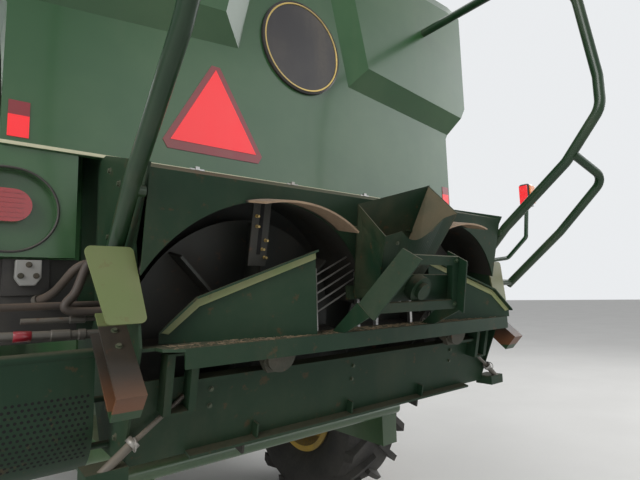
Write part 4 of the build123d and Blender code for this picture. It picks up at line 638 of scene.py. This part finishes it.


# Hood: a pale strip painted as the highlight along the seam, clips, rubber edges, reflective signs, the bare
# plate in the notch and the side vents
def dressHood():
    hood = {"low": 1.07, "high": 1.19, "kinkLow": 2.6, "kinkHigh": 2.79, "roof": 3.43, "edge": 0.006,
            "clipX": (0.48, 0.055, -0.369, -0.8), "ventX": 1.188, "ventZ": 2.93}
    # The pale strip is a painted highlight along the seam
    strip = block((-hood["low"], faceY + 0.0082, seamZ - 0.009), (hood["low"], faceY + 0.0125, seamZ + 0.001))
    makePiece("hoodSeamHighlight", [strip], "seamHighlight")
    clips = []
    for x in hood["clipX"]:
        clips.append(slab(x, 0.028, (faceY + 0.0122, faceY + 0.016), (seamZ - 0.012, seamZ + 0.003)))
        clips.append(slab(x, 0.008, (faceY + 0.0122, faceY + 0.02), (seamZ - 0.004, seamZ + 0.01)))
    makePiece("hoodClips", clips, "zincSteel", bevel=0.001)
    outline = [(hood["low"], seamZ + 0.01), (hood["low"], hood["kinkLow"]), (hood["high"], hood["kinkHigh"]),
               (hood["high"], hood["roof"])]
    edges = [tube([Vector((side * (x + 0.004), faceY - 0.035, z)) for x, z in outline], hood["edge"], 8)
             for side, name in sides]
    makePiece("hoodEdgeRubber", edges, "rubber", smooth=True)
    sign = {"x": 0.4, "z": 2.245, "border": 0.0025, "inner": 0.004, "corner": 1.03}
    across, up = (-1, 0, 0), (0, 0, 1)
    border = [(-0.186, 0.0), (0.186, 0.0), (0.203, 0.03), (0.0175, 0.356), (-0.0175, 0.356), (-0.203, 0.03)]
    inner = [(-0.1755, 0.034), (0.1755, 0.034), (0.0, 0.342)]
    root = (sign["x"], faceY, sign["z"])
    makePiece("warningTriangleBorder", [prism(border, root, across, up, sign["border"])], "darkReflector")
    makePiece("warningTriangle", [prism(inner, root, across, up, sign["inner"])], "glowingRedReflector")
    for side, name in sides:
        for part, low, high, finish in (("Upper", 2.262, 2.305, "darkReflector"),
                                        ("Lower", 2.196, 2.262, "glowingRedReflector")):
            outline = rectangle((-0.024, 0.0), (0.03, high - low))
            corner = prism(outline, (side * sign["corner"], faceY, low), across, up, sign["border"])
            makePiece(f"cornerReflector{part}{name}", [corner], finish)
    disc = {"radius": 0.212, "centre": (-0.02, faceY - 0.002, 2.815), "steps": 72}
    radius = disc["radius"]
    bare = [(radius, 0.0), (radius, 0.014), (radius - 0.008, 0.018), (radius - 0.014, 0.0145), (0.02, 0.016)]
    makePiece("blankPlate", [lathe(bare, disc["centre"], (0, 1, 0), disc["steps"])], "darkPlate")
    rim = [(radius - 0.018, 0.0145), (radius - 0.017, 0.0175), (radius - 0.011, 0.0175),
           (radius - 0.01, 0.0145)]
    rimShape = lathe(rim, disc["centre"], (0, 1, 0), disc["steps"], closed=True)
    makePiece("blankPlateRim", [rimShape], "brassZinc")
    rows = [hood["ventZ"] + row * 0.05 for row in range(7)]
    vents = [slab(side * hood["ventX"], 0.004, (1.95, 2.75), (z, z + 0.022))
             for side, name in sides for z in rows]
    makePiece("hoodVents", vents, "blackPlastic", bevel=0.001)


# Tail lamps: a bezel round each recess, lens ribs, and the marker lamps' lenses
def dressLamps():
    lamp = {"middle": 1.0435, "half": 0.1265, "radius": 0.12, "z": 1.9815, "bezel": 0.0035, "clear": 0.003,
            "ribX": 1.066, "ribZ": 1.959, "ribPitch": 0.0142}
    bezels, ribbing = [], []
    straight = lamp["half"] - lamp["radius"]
    reach = lamp["radius"] + lamp["clear"]
    for side, name in sides:
        run = []
        for step in range(33):
            turn = 2 * math.pi * step / 32
            shift = straight if math.cos(turn) > 0 else -straight
            x = side * (lamp["middle"] + shift + reach * math.cos(turn))
            run.append(Vector((x, faceY + 0.001, lamp["z"] + reach * math.sin(turn))))
        bezels.append(tube(run, lamp["bezel"], 8))
        for row in range(6):
            z = lamp["ribZ"] + row * lamp["ribPitch"]
            ribbing.append(slab(side * lamp["ribX"], 0.062, (faceY - 0.0046, faceY - 0.0026), (z, z + 0.003)))
    makePiece("lampBezels", bezels, "blackPlastic", smooth=True)
    makePiece("lampLensRibs", ribbing, "lampLens")
    for side, name in sides:
        marker = Vector((side * 1.25, 3.845, 2.2145))
        rear = block(marker + Vector((-0.024, 0.0285, -0.048)), marker + Vector((0.024, 0.036, 0.048)))
        makePiece("markerAmber" + name, [rear], "amberLens", bevel=0.003)
        low, high = sorted((-side * 0.0305, -side * 0.0345))
        red = block(marker + Vector((low, -0.022, -0.05)), marker + Vector((high, 0.022, 0.05)))
        makePiece("markerRed" + name, [red], "glowingRedReflector", bevel=0.001)


# Spreader: bolt rows, the slotted bar in the left chamber, comb rods beside the chute, straw on the tray,
# and the struts' pins and sleeves
def dressSpreader():
    head = {"board": (0.006, 0.005, 0.008), "wall": (0.007, 0.006, 0.011), "arm": (0.006, 0.005, 0.009),
            "brass": (0.004, 0.012, 0.005), "rotor": (0.006, 0.006, 0.009)}
    boardRoot = Vector((0, tailY + 0.239, 1.3)) + tailOut * 0.3
    rows = [boardRoot + Vector((x, 0, 0)) + tailUp * up
            for up in (0.122, 0.169) for x in (-0.52, 0.044, 0.58)]
    boltsOn("boardBolts", "tailboard", rows, -tailOut, "paintedHead", head["board"])
    places = [(3.6, 2.1), (3.7, 2.04), (3.6, 1.9), (3.72, 1.92), (3.6, 1.76), (3.78, 1.74), (3.64, 1.42),
              (3.72, 1.36), (3.56, 1.6)]
    for side, name in sides:
        wall = [Vector((side * 1.3, y, z)) for y, z in places]
        boltsOn("wallBolts" + name, "spreader_frame", wall, (-side, 0, 0), "paintedHead", head["wall"])
        arm = [Vector((side * 0.833, 4.3, z)) for z in (1.605, 1.64)]
        boltsOn("armBolts" + name, "side_arms", arm, (0, -1, 0), "paintedHead", head["arm"])
    bar = {"x": 0.448, "out": -0.04, "half": 0.03, "low": 0.235, "high": 0.452, "thick": 0.006,
           "slotOut": -0.0345, "slotHalf": 0.006, "slotLow": 0.27, "slotHigh": 0.42, "boltOut": -0.034}
    outline = rectangle((-bar["half"], bar["low"]), (bar["half"], bar["high"]))
    shape = prism(outline, tailSpot(bar["x"], 0, bar["out"]), (-1, 0, 0), tailUp, bar["thick"])
    makePiece("chamberBar", [shape], "chamberPaint", bevel=0.001)
    outline = rectangle((-bar["slotHalf"], bar["slotLow"]), (bar["slotHalf"], bar["slotHigh"]))
    shape = prism(outline, tailSpot(bar["x"], 0, bar["slotOut"]), (-1, 0, 0), tailUp, 0.002)
    # the slot is a near-black plate painted as the shade in the opening
    makePiece("chamberBarSlot", [shape], "holeShade")
    brass = [(0.466, 0.383), (0.462, 0.353), (0.428, 0.313), (0.437, 0.286), (0.426, 0.262)]
    bolts("chamberBrassBolts", [(tailSpot(x, up, bar["boltOut"]), tailOut) for x, up in brass], "brassZinc",
          head["brass"])
    comb = {"out": 0.232, "in": 0.045, "y": 3.852, "outZ": 1.655, "inZ": 1.742, "pitch": 0.03,
            "radius": 0.0032}
    combs = []
    for side, name in sides:
        for row in range(5):
            start = Vector((side * comb["out"], comb["y"], comb["outZ"] + row * comb["pitch"]))
            end = Vector((side * comb["in"], comb["y"], comb["inZ"] + row * comb["pitch"]))
            combs.append(tube([start, start.lerp(end, 0.5) + Vector((0, 0.002, 0)), end], comb["radius"], 8))
        for x, low, high in ((comb["out"], 1.595, 1.8), (comb["in"], 1.6, 1.885)):
            combs.append(slab(side * x, 0.006, (comb["y"] - 0.007, comb["y"] + 0.007), (low, high)))
    makePiece("combRods", combs, "zincSteel")
    straw = {"half": 0.74, "back": 3.87, "front": 3.972, "z": 1.5992}
    corners = rectangle((-straw["half"], straw["back"]), (straw["half"], straw["front"]))
    bed = bpy.data.meshes.new("strawBed")
    bed.from_pydata([(*corner, straw["z"]) for corner in corners], [], [[0, 1, 2, 3]])
    grow("strawOnTray", "straw", bed, {"Density": 6500.0, "Seed": 5, "Length": 0.011, "Width": 0.0009},
         "straw")
    strut = {"y": 3.824, "pinX": 0.79, "pinZ": 1.366, "thin": 0.0066, "thick": 0.0116,
             "ends": ((0.655, 1.462), (0.788, 1.3674), (0.872, 1.3012))}
    pins, sleeves = [], []
    for side, name in sides:
        knot = Vector((side * strut["pinX"], strut["y"], strut["pinZ"]))
        pins.append(hoop(0.0145, 0.0175, 0.008, knot, (side * 0.78, 0, -0.62), 20))
        turns = [step * math.pi / 8 for step in range(17)]
        ring = [knot + Vector((0, 0.016 + 0.014 * math.sin(t), 0.016 * math.cos(t))) for t in turns]
        pins.append(tube(ring, 0.0018, 8))
        ends = [Vector((side * x, strut["y"], z)) for x, z in strut["ends"]]
        sleeves += [tube(ends[:2], strut["thin"], 16), tube(ends[1:], strut["thick"], 16)]
    makePiece("strutPins", pins, "zincSteel", smooth=True)
    makePiece("strutSleeves", sleeves, "wornSteel", smooth=True)
    leanOut, leanUp = Vector((0, 0.868, -0.496)), Vector((0, 0.496, 0.868))
    for side, name in sides:
        lower = name.lower()
        starts = [Vector((side * x, 4.09, 1.7)) + leanUp * up + leanOut * 0.2
                  for x, up in ((0.19, -0.025), (0.1, 0.135))]
        boltsOn("bracketBolts" + name, "centre_bracket", starts, -leanOut, "paintedHead", head["arm"])
        ring = circle(tailSpot(side * rotorX, 0, 0.4), 0.042, 6, (1, 0, 0), tailUp, math.radians(30))
        boltsOn("rotorBolts" + name, "rotor_" + lower, ring, -tailOut, "zincSteel", head["rotor"],
                "spreader_" + lower)


# The scoop between the rotors: its mouth is wider than its foot and tips to one side, and its front edge
# is cut back
def dressScoop():
    scoop = {"wall": 0.005, "footHalf": 0.085, "footZ": 1.7, "footBack": 3.876, "footFront": 3.992,
             "bite": 0.046, "biteFrom": 0.22, "biteTo": 0.8, "steps": 24}
    leftBack, rightBack = Vector((0.165, 4.0, 1.996)), Vector((-0.165, 4.027, 2.093))
    leftFront, rightFront = Vector((0.165, 4.112, 1.88)), Vector((-0.165, 4.141, 1.974))
    footSpots = [Vector((side * scoop["footHalf"], y, scoop["footZ"]))
                 for y in (scoop["footBack"], scoop["footFront"]) for side, name in sides]
    leftBackFoot, rightBackFoot, leftFoot, rightFoot = footSpots
    rim, foot = [], []
    for step in range(scoop["steps"] + 1):
        share = step / scoop["steps"]
        spot = leftFront.lerp(rightFront, share)
        reach = (share - scoop["biteFrom"]) / (scoop["biteTo"] - scoop["biteFrom"])
        if 0 < reach < 1:
            spot -= Vector((0, 0.3, 0.95)) * scoop["bite"] * math.sin(math.pi * reach ** 0.8)
        rim.append(spot)
        foot.append(leftFoot.lerp(rightFoot, share))
    wall = scoop["wall"]
    shell = [plate(rim, foot, Vector((0, -wall, 0))),
             plate([leftBack, rightBack], [leftBackFoot, rightBackFoot], Vector((0, wall, 0))),
             plate([leftBack, leftFront], [leftBackFoot, leftFoot], Vector((-wall, 0, 0))),
             plate([rightBack, rightFront], [rightBackFoot, rightFoot], Vector((wall, 0, 0)))]
    shell.append(slab(0, 0.105, (3.862, 3.88), (1.695, 1.742)))  # flange on the arch plate
    for side, name in sides:  # stays between the back wall and the arch plate
        shell.append(slab(side * 0.11, 0.016, (3.91, 3.974), (1.93, 1.936)))
    piece = makePiece("scoopShell", shell, "chutePaint")
    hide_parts("centre_chute")
    inward = Vector((0.0055, 0, 0))
    top = [spot + inward + Vector((0, 0, -0.002)) for spot in (rightBack, rightFront)]
    lining = plate(top, [spot + inward for spot in (rightBackFoot, rightFoot)], Vector((0.0008, 0, 0)))
    makePiece("scoopLining", [lining], "chuteLining")
    outward = (rightFront - leftFront).cross(leftFoot - leftFront).normalized()
    outward = outward if outward.y > 0 else -outward
    places = [leftFront.lerp(rightFront, share).lerp(leftFoot.lerp(rightFoot, share), down)
              for share, down in ((0.18, 0.16), (0.66, 0.26))]
    bolts("scoopBolts", [(spot, outward) for spot in places], "paintedHead", (0.005, 0.004, 0.007))


# The lip along the top of each vane, painted pale partly for its dust and partly for the sunlight on it
def dressVanes():
    vane = {"knee": 0.787, "top": 1.846, "bend": 1.716, "low": 1.628, "tall": 0.024, "thick": 0.0035}
    ends = {"Left": ((0.302, 3.95), (0.728, 3.822)), "Right": ((-0.345, 3.862), (-0.735, 3.976))}
    for side, name in sides:
        start, end = (Vector((*spot, 0.0)) for spot in ends[name])
        run = (end - start).length
        middle = start.lerp(end, 0.5)
        face = hit("deflector_vanes", (middle.x, 4.3, 1.7), (0, -1, 0))[0]
        knee = run * vane["knee"]
        outline = [(0.0, vane["top"]), (knee, vane["bend"]), (run, vane["low"]),
                   (run - vane["tall"], vane["low"] - 0.006), (knee - 0.008, vane["bend"] - vane["tall"]),
                   (0.0, vane["top"] - vane["tall"])]
        root = start + Vector((0, face.y - middle.y, 0))
        lip = prism(outline, root, end - start, (0, 0, 1), -side * vane["thick"])
        makePiece("vaneLip" + name, [lip], "lipDustAndSunPaint", bevel=0.001)


# Left of the spreader: the drive shield's perforations, a black sheet painted as the shade behind the hoses,
# the valve block, and the bent pipes with fittings
def dressDrive():
    drive = {"in": 0.868, "out": 1.055, "face": 3.7098, "bendZ": 1.412, "bend": 0.1548, "pitch": 0.0135,
             "start": -0.062, "rows": 13, "columns": 14}
    spots = []
    for row in range(drive["rows"]):
        run = row * drive["pitch"] + drive["start"]
        turn = max(run, 0) / drive["bend"]
        y = drive["face"] - drive["bend"] * (1 - math.cos(turn))
        z = drive["bendZ"] - (run if run < 0 else drive["bend"] * math.sin(turn))
        for column in range(drive["columns"]):
            x = drive["in"] + column * drive["pitch"] + (row % 2) * drive["pitch"] / 2
            if x <= drive["out"]:
                spots.append((Vector((x, y, z)), (0, math.cos(turn), -math.sin(turn))))
    # the perforations are near-black discs painted as the shade in the holes
    grow("driveShieldHoles", "holes", pointMesh("holes", spots), {"Hole Radius": 0.0038, "Sides": 10},
         "holeShade")
    mount = block((0.925, 3.43, 1.735), (1.045, 3.4398, 1.843))
    makePiece("valvePlate", [mount], "blackPaint", bevel=0.001)
    # painted shade: a black sheet behind the hoses stands in for the deep shade there
    back = block((0.8455, 3.4215, 1.595), (1.178, 3.43, 1.843))
    makePiece("hoseShadowPanel", [back], "blackPlastic", bevel=0.002)
    valve = {"root": (0.984, 3.4398, 1.785), "deep": 0.04,
             "bolts": ((0.984, 1.823), (1.003, 1.791), (0.965, 1.791))}
    shape = [(-0.0325, 0.0), (-0.0325, 0.052), (0.0325, 0.052), (0.0325, 0.0), (0.018, -0.022),
             (-0.018, -0.022)]
    body = prism(shape, valve["root"], (-1, 0, 0), (0, 0, 1), valve["deep"])
    makePiece("valveBlock", [body], "blockAlloy", bevel=0.003)
    valveSpots = [(Vector((x, valve["root"][1] + valve["deep"], z)), (0, 1, 0)) for x, z in valve["bolts"]]
    bolts("valveBolts", valveSpots, "castIron", (0.006, 0.005, 0.0085))
    thick, thin = 0.0125, 0.011
    pipes = [
        (thick, [(0.801, 3.6, 1.84), (0.84, 3.615, 1.835), (0.862, 3.62, 1.815), (0.875, 3.62, 1.775),
                 (0.888, 3.62, 1.735), (0.91, 3.62, 1.712), (0.914, 3.62, 1.698), (0.9, 3.62, 1.688),
                 (0.86, 3.62, 1.685), (0.801, 3.62, 1.685)]),
        (thick, [(0.801, 3.57, 1.83), (0.85, 3.585, 1.826), (0.884, 3.58, 1.808), (0.906, 3.55, 1.77),
                 (0.93, 3.5, 1.73), (0.955, 3.455, 1.72)]),
        (thin, [(0.801, 3.575, 1.704), (0.94, 3.578, 1.704), (1.055, 3.58, 1.703)]),
        (thin, [(1.055, 3.58, 1.703), (1.105, 3.56, 1.702), (1.125, 3.5, 1.712), (1.13, 3.44, 1.74),
                (1.13, 3.43, 1.83)]),
    ]
    bent = [tube([Vector(spot) for spot in run], radius, 12) for radius, run in pipes]
    makePiece("bentPipes", bent, "hoseRubber", smooth=True)
    couplerPlace = ((0.801, 3.62, 1.622), (1, 0, 0.032), 20)
    coupler = [(0.008, 0.0), (0.008, 0.022), (0.0125, 0.024), (0.0125, 0.058), (0.0155, 0.06),
               (0.0155, 0.076), (0.0125, 0.078), (0.0125, 0.096), (0.015, 0.098), (0.015, 0.142),
               (0.0128, 0.144), (0.0128, 0.26), (0.01, 0.262), (0.01, 0.3)]
    nipple = [(0.006, 0.0), (0.006, 0.055), (0.0105, 0.057), (0.0105, 0.095), (0.0075, 0.097), (0.0075, 0.21)]
    fittings = [hoop(thick, 0.0165, 0.008, (0.955, 3.455, 1.72), (0.4, -0.7, -0.2), 18),
                lathe(coupler, *couplerPlace), lathe(nipple, (0.801, 3.6, 1.664), (1, 0, 0.01), 16)]
    makePiece("pipeFittings", fittings, "wornSteel")
    redBand = [(0.012, 0.186), (0.0142, 0.188), (0.0142, 0.226), (0.012, 0.228)]
    makePiece("fittingBand", [lathe(redBand, *couplerPlace, closed=True)], "darkReflector", smooth=True)


# Wheels: nuts, hub bolts and raised rings on each tyre's sidewall. An axle has its x, y and tyre radius,
# its nuts' circle and number, and the radii of its rings
wheels = {
    "front": (1.5, -1.91, 0.975, 0.186, 12, (0.52, 0.6)),
    "rear": (1.48, 1.69, 0.78, 0.14, 10, (0.44, 0.5)),
}


def dressWheels():
    for end, (x, y, radius, nutCircle, count, ringRadii) in wheels.items():
        for side, name in sides:
            place = f"{end}_{name.lower()}"
            title = end.title() + name
            outside = (side * (x + 0.6), y, radius)
            for piece, reach, number, sizes in (("wheelNuts", nutCircle, count, (0.017, 0.022, 0.024)),
                                                ("hubBolts", 0.055, 6, (0.008, 0.01, 0.012))):
                boltsOn(piece + title, "rim_" + place, circle(outside, reach, number), (-side, 0, 0),
                        "zincSteel", sizes, "wheel_" + place)
            rings = []
            for ring in ringRadii:
                found = hit("tyre_" + place, (side * (x + 0.6), y, radius + ring), (-side, 0, 0))
                rings.append(lathe([(ring - 0.006, -0.004), (ring, 0.005), (ring + 0.006, -0.004)],
                                   (found[0].x, y, radius), (side, 0, 0), 72, closed=True))
            makePiece("sidewallRings" + title, rings, "tyreRubber", "wheel_" + place, smooth=True)


# Side shields: latches, rivets, slots and grips, and the screws of the tank's covers above them
def dressShield(side, name):
    node, body, inward = "side_shield_" + name.lower(), "shield_" + name.lower(), (-side, 0, 0)
    latches = []
    for y, z in ((-0.55, 1.32), (0.35, 1.32), (1.9, 1.86)):
        place, normal = hit(node, (side * 2.0, y, z), inward)
        latches.append(lathe([(0.03, -0.002), (0.03, 0.004), (0.012, 0.006), (0.012, 0.009)],
                             place, normal, 24))
    makePiece("shieldLatches" + name, latches, "blackPlastic", body)
    starts = [Vector((side * 2.0, -0.85 + 0.12 * step, 2.36)) for step in range(1, 27)]
    boltsOn("shieldRivets" + name, node, starts, inward, "zincSteel", (0.004, 0.003, 0.006), body)
    slots = []
    for row in range(7):
        ends = [hit(node, (side * 2.0, y, 1.62 + row * 0.055), inward) for y in (-0.62, -0.1)]
        middle, normal = ends[0][0].lerp(ends[1][0], 0.5), ends[0][1]
        along = Vector((0, side, 0))
        slots.append(prism(rectangle((-0.26, -0.01), (0.26, 0.01)), middle + normal * 0.0006, along,
                           normal.cross(along), 0.002))
    # the slots are near-black plates painted as the shade in the openings
    makePiece("shieldSlots" + name, slots, "holeShade", body)
    (start, normal), (end, other) = (hit(node, (side * 2.0, y, 1.27), inward) for y in (-0.1, 0.1))
    out = normal * 0.038
    grip = tube([start, start + out, end + out, end], 0.008, 10)
    makePiece("shieldGrip" + name, [grip], "blackPlastic", body, smooth=True)
    seats = [Vector((side * (0.2 + 0.16 * step), y, 4.2)) for y in (-2.02, -0.18) for step in range(6)]
    boltsOn("coverScrews" + name, "tank_cover_" + name.lower(), seats, (0, 0, -1), "zincSteel",
            (0.006, 0.005, 0.009), "cover_" + name.lower())


# Body: tank ribs, side shields, the auger's flange bolts and rubber spout, housing seams and screen spokes
def dressBody():
    ribbing = []
    for side, name in sides:
        for row in range(5):
            y = -1.86 + row * 0.38
            ribbing.append(slab(side * 1.255, 0.006, (y - 0.022, y + 0.022), (2.5, 3.42)))
    makePiece("tankRibs", ribbing, "bodyPaint", bevel=0.004)
    for side, name in sides:
        dressShield(side, name)
    auger = {"x": 1.48, "z": 3.225, "rootY": -0.42, "length": 3.9, "flange": 0.183}
    rings = []
    for share in (0.05, 0.52, 0.9):
        centre = (auger["x"], auger["rootY"] + share * auger["length"] + 0.03, auger["z"])
        rings += [(spot, (0, 1, 0)) for spot in circle(centre, auger["flange"], 16, (1, 0, 0))]
    bolts("augerFlangeBolts", rings, "zincSteel", (0.006, 0.007, 0.006), "auger")
    boot = {"half": 0.1505, "yLow": 3.1295, "yHigh": 3.4805, "low": 2.6, "top": 2.86, "wall": 0.006}
    wall, height = boot["wall"], (boot["low"], boot["top"])
    xLow, xHigh = auger["x"] - boot["half"], auger["x"] + boot["half"]
    walls = [slab(x, wall / 2, (boot["yLow"] - wall, boot["yHigh"] + wall), height)
             for x in (xLow - wall / 2, xHigh + wall / 2)]
    walls += [slab(auger["x"], boot["half"], span, height)
              for span in ((boot["yLow"] - wall, boot["yLow"]), (boot["yHigh"], boot["yHigh"] + wall))]
    makePiece("spoutRubber", walls, "rubber", "auger", bevel=0.001)
    seam = {"x": 1.191, "half": 0.003, "wide": 0.008}
    frames = [slab(seam["x"], seam["half"], (-0.02, 1.22), (z - seam["wide"], z + seam["wide"]))
              for z in (2.52, 3.36)]
    frames += [slab(seam["x"], seam["half"], (y - seam["wide"], y + seam["wide"]), (2.52, 3.36))
               for y in (0.02, 1.18)]
    makePiece("housingSeams", frames, "blackPaint")
    spokes = []
    centre = Vector((-1.239, 0.62, 2.96))
    for step in range(12):
        turn = math.pi * step / 6
        along = Vector((0, math.cos(turn), math.sin(turn)))
        beside = Vector((0, -math.sin(turn), math.cos(turn)))
        spokes.append(prism([(0.05, -0.004), (0.39, -0.006), (0.39, 0.006), (0.05, 0.004)], centre, along,
                            beside, -0.004))
    rim = [(0.392, -0.004), (0.392, 0.006), (0.38, 0.006), (0.38, -0.004)]
    spokes.append(lathe(rim, centre, (-1, 0, 0), 64, closed=True))
    spokes.append(lathe([(0.07, -0.002), (0.07, 0.01), (0.03, 0.016), (0.01, 0.016)], centre, (-1, 0, 0), 32))
    makePiece("screenSpokes", spokes, "blackPaint", "screen")


# Cab: the padded seat on its pedestal, lamp lenses, beacons, mirror glass, wiper and the door's handle
def cushion(name, low, high, crown, tilt):
    steps = 12
    row = steps + 1
    count = row ** 2
    size = Vector(high) - Vector(low)
    middle = (Vector(high) + Vector(low)) / 2
    verts, faces = [], []
    for layer in (1, -1):
        for i in range(row):
            for j in range(row):
                u, v = 2 * i / steps - 1, 2 * j / steps - 1
                swell = (1 - u ** 4) * (1 - v ** 4)
                z = layer * (size.z / 2 * (0.35 + 0.65 * swell ** 0.35) + crown * swell)
                verts.append(Vector((u * size.x / 2 * (0.97 + 0.03 * (1 - v * v)), v * size.y / 2, z)))
    for i in range(steps):
        for j in range(steps):
            corner = i * row + j
            quad = [corner, corner + row, corner + row + 1, corner + 1]
            faces += [quad, [k + count for k in reversed(quad)]]
    rim = [i * row for i in range(row)]
    rim += [steps * row + j for j in range(1, row)]
    rim += [i * row + steps for i in range(steps - 1, -1, -1)]
    rim += list(range(steps - 1, 0, -1))
    faces += [[a, b, b + count, a + count] for a, b in zip(rim, rim[1:] + rim[:1])]
    turn = Matrix.Rotation(tilt, 3, "X")
    piece = makePiece(name, [([middle + turn @ v for v in verts], faces)], "seatCloth", smooth=True)
    return piece


def dressCab():
    base = block((-0.18, -2.79, 2.05), (0.18, -2.43, 2.38))
    arm = block((-0.27, -2.55, 2.45), (-0.25, -2.45, 2.66))
    stand = makePiece("seatPedestal", [base, arm], "blackPaint", bevel=0.01)
    bottom = cushion("seatCushion", (-0.25, -2.87, 2.385), (0.25, -2.37, 2.495), 0.012, 0.0)
    back = cushion("seatBack", (-0.23, -2.655, 2.77), (0.23, -1.995, 2.875), 0.01, math.radians(83))
    rest = cushion("seatArmrest", (-0.36, -2.84, 2.61), (-0.27, -2.39, 2.685), 0.004, 0.0)
    for part in (stand, bottom, back, rest):
        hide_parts("seat")
    lamp = {"faceX": (-0.64, -0.46, 0.46, 0.64), "roofX": (-0.7, -0.5, -0.3, 0.3, 0.5, 0.7), "steps": 28}
    lenses = [slab(x, 0.058, (-3.386, -3.379), (3.592, 3.658)) for x in lamp["faceX"]]
    makePiece("workLightLenses", lenses, "clearLens", bevel=0.002)
    shell = [(0.05, -0.02), (0.056, 0.018), (0.056, 0.03), (0.049, 0.034), (0.045, 0.029), (0.02, 0.01)]
    lens = [(0.0445, 0.02), (0.0455, 0.0295), (0.03, 0.0325), (0.01, 0.0335)]
    shells, faces = [], []
    for x in lamp["roofX"]:
        found, normal = hit("cab_roof", (x, -4.2, 3.725), (0, 1, 0))
        place = Vector((x, found.y, 3.645))
        shells.append(lathe(shell, place, normal, lamp["steps"]))
        faces.append(lathe(lens, place, normal, lamp["steps"]))
    makePiece("roofLampShells", shells, "blackPlastic")
    makePiece("roofLampLenses", faces, "clearLens", smooth=True)
    dome = [(0.063, 0.066), (0.0635, 0.13), (0.058, 0.155), (0.04, 0.1692), (0.01, 0.1698)]
    domes = [lathe(dome, (x, -2.45, 3.77), (0, 0, 1), 32) for x in (-0.56, 0.56)]
    makePiece("beaconDomes", domes, "amberLens", smooth=True)
    glasses = [slab(side * 1.6, 0.1, (-3.3252, -3.3232), (3.0, 3.39)) for side, name in sides]
    makePiece("mirrorGlass", glasses, "brightSteel")
    handle = [(0.846, -3.225, 2.62), (0.872, -3.222, 2.6), (0.872, -3.222, 2.42), (0.846, -3.225, 2.4)]
    makePiece("doorHandleGrip", [tube(handle, 0.006, 8)], "blackPlastic", "door", smooth=True)
    wiper = []
    for spots, lift, radius in ((((0.0, 2.12), (0.12, 2.5), (0.26, 2.95)), 0.012, 0.006),
                                (((0.16, 2.65), (0.26, 2.95), (0.36, 3.25)), 0.006, 0.005)):
        found = [hit("cab_glass", (x, -4.0, z), (0, 1, 0)) for x, z in spots]
        wiper.append(tube([place + normal * lift for place, normal in found], radius, 8))
    makePiece("wiper", wiper, "blackPlastic")


# Platform and ladder tread, feederhouse ribs and flange bolts, bolts on the rails and axle, exhaust clamp
def dressAccess():
    starts = [(0.93 + 0.048 * column, -3.2 + 0.024 * (column % 2), 2.0512) for column in range(19)]
    ribs("deckTread", starts, 20, (0.0, 0.048, 0.0), (0.026, 0.005, 0.0024), "blackPaint")
    treads = []
    for step in range(5):
        share = (step + 0.5) / 5
        y, z = -3.57 + share * 0.29, 0.52 + share * 1.47
        treads += [(1.18 + 0.03 * column, y - 0.135, z + 0.0145) for column in range(15)]
    ribs("ladderTread", treads, 4, (0.0, 0.036, 0.0), (0.012, 0.02, 0.002), "zincSteel", "access_ladder")
    feeder = {"half": 0.66, "wide": 0.02, "proud": 0.01, "firstY": -2.75, "pitch": 0.27}
    outline = rectangle((-feeder["half"], -feeder["wide"]), (feeder["half"], feeder["wide"]))
    across = Vector((1, 0, 0))
    ribbing = []
    for row in range(6):
        place, normal = hit("feederhouse", (0.0, feeder["firstY"] - row * feeder["pitch"], 3.0), (0, 0, -1))
        ribbing.append(prism(outline, place, across, normal.cross(across), feeder["proud"]))
    makePiece("feederRibs", ribbing, "bodyPaint", "feeder", bevel=0.003)
    for side, name in sides:
        rows = [Vector((side * 1.5, -4.362, 0.6 + 0.09 * row)) for row in range(7)]
        boltsOn("feederFlangeBolts" + name, "feederhouse", rows, (-side, 0, 0), "zincSteel",
                (0.009, 0.008, 0.014), "feeder")
    frameBolt = (0.01, 0.009, 0.015)
    for side, name in sides:
        rows = [Vector((side * 1.2, -1.5 + 0.32 * step, 1.05)) for step in range(15)]
        boltsOn("railBolts" + name, "frame", rows, (-side, 0, 0), "zincSteel", frameBolt)
        ring = circle((side * 1.0, -1.91, 0.975), 0.19, 12)
        boltsOn("axleBolts" + name, "front_axle", ring, (side, 0, 0), "zincSteel", frameBolt)
    clamp = hoop(0.066, 0.07, 0.012, (0.76, 0.9, 3.6), (0, 0, 1), 24)
    makePiece("exhaustClamp", [clamp], "zincSteel")


dressHood()
dressLamps()
print("hood and lamps dressed")
dressSpreader()
dressScoop()
dressVanes()
dressDrive()
print("spreader dressed")
dressWheels()
dressBody()
dressCab()
dressAccess()
print("machine dressed")
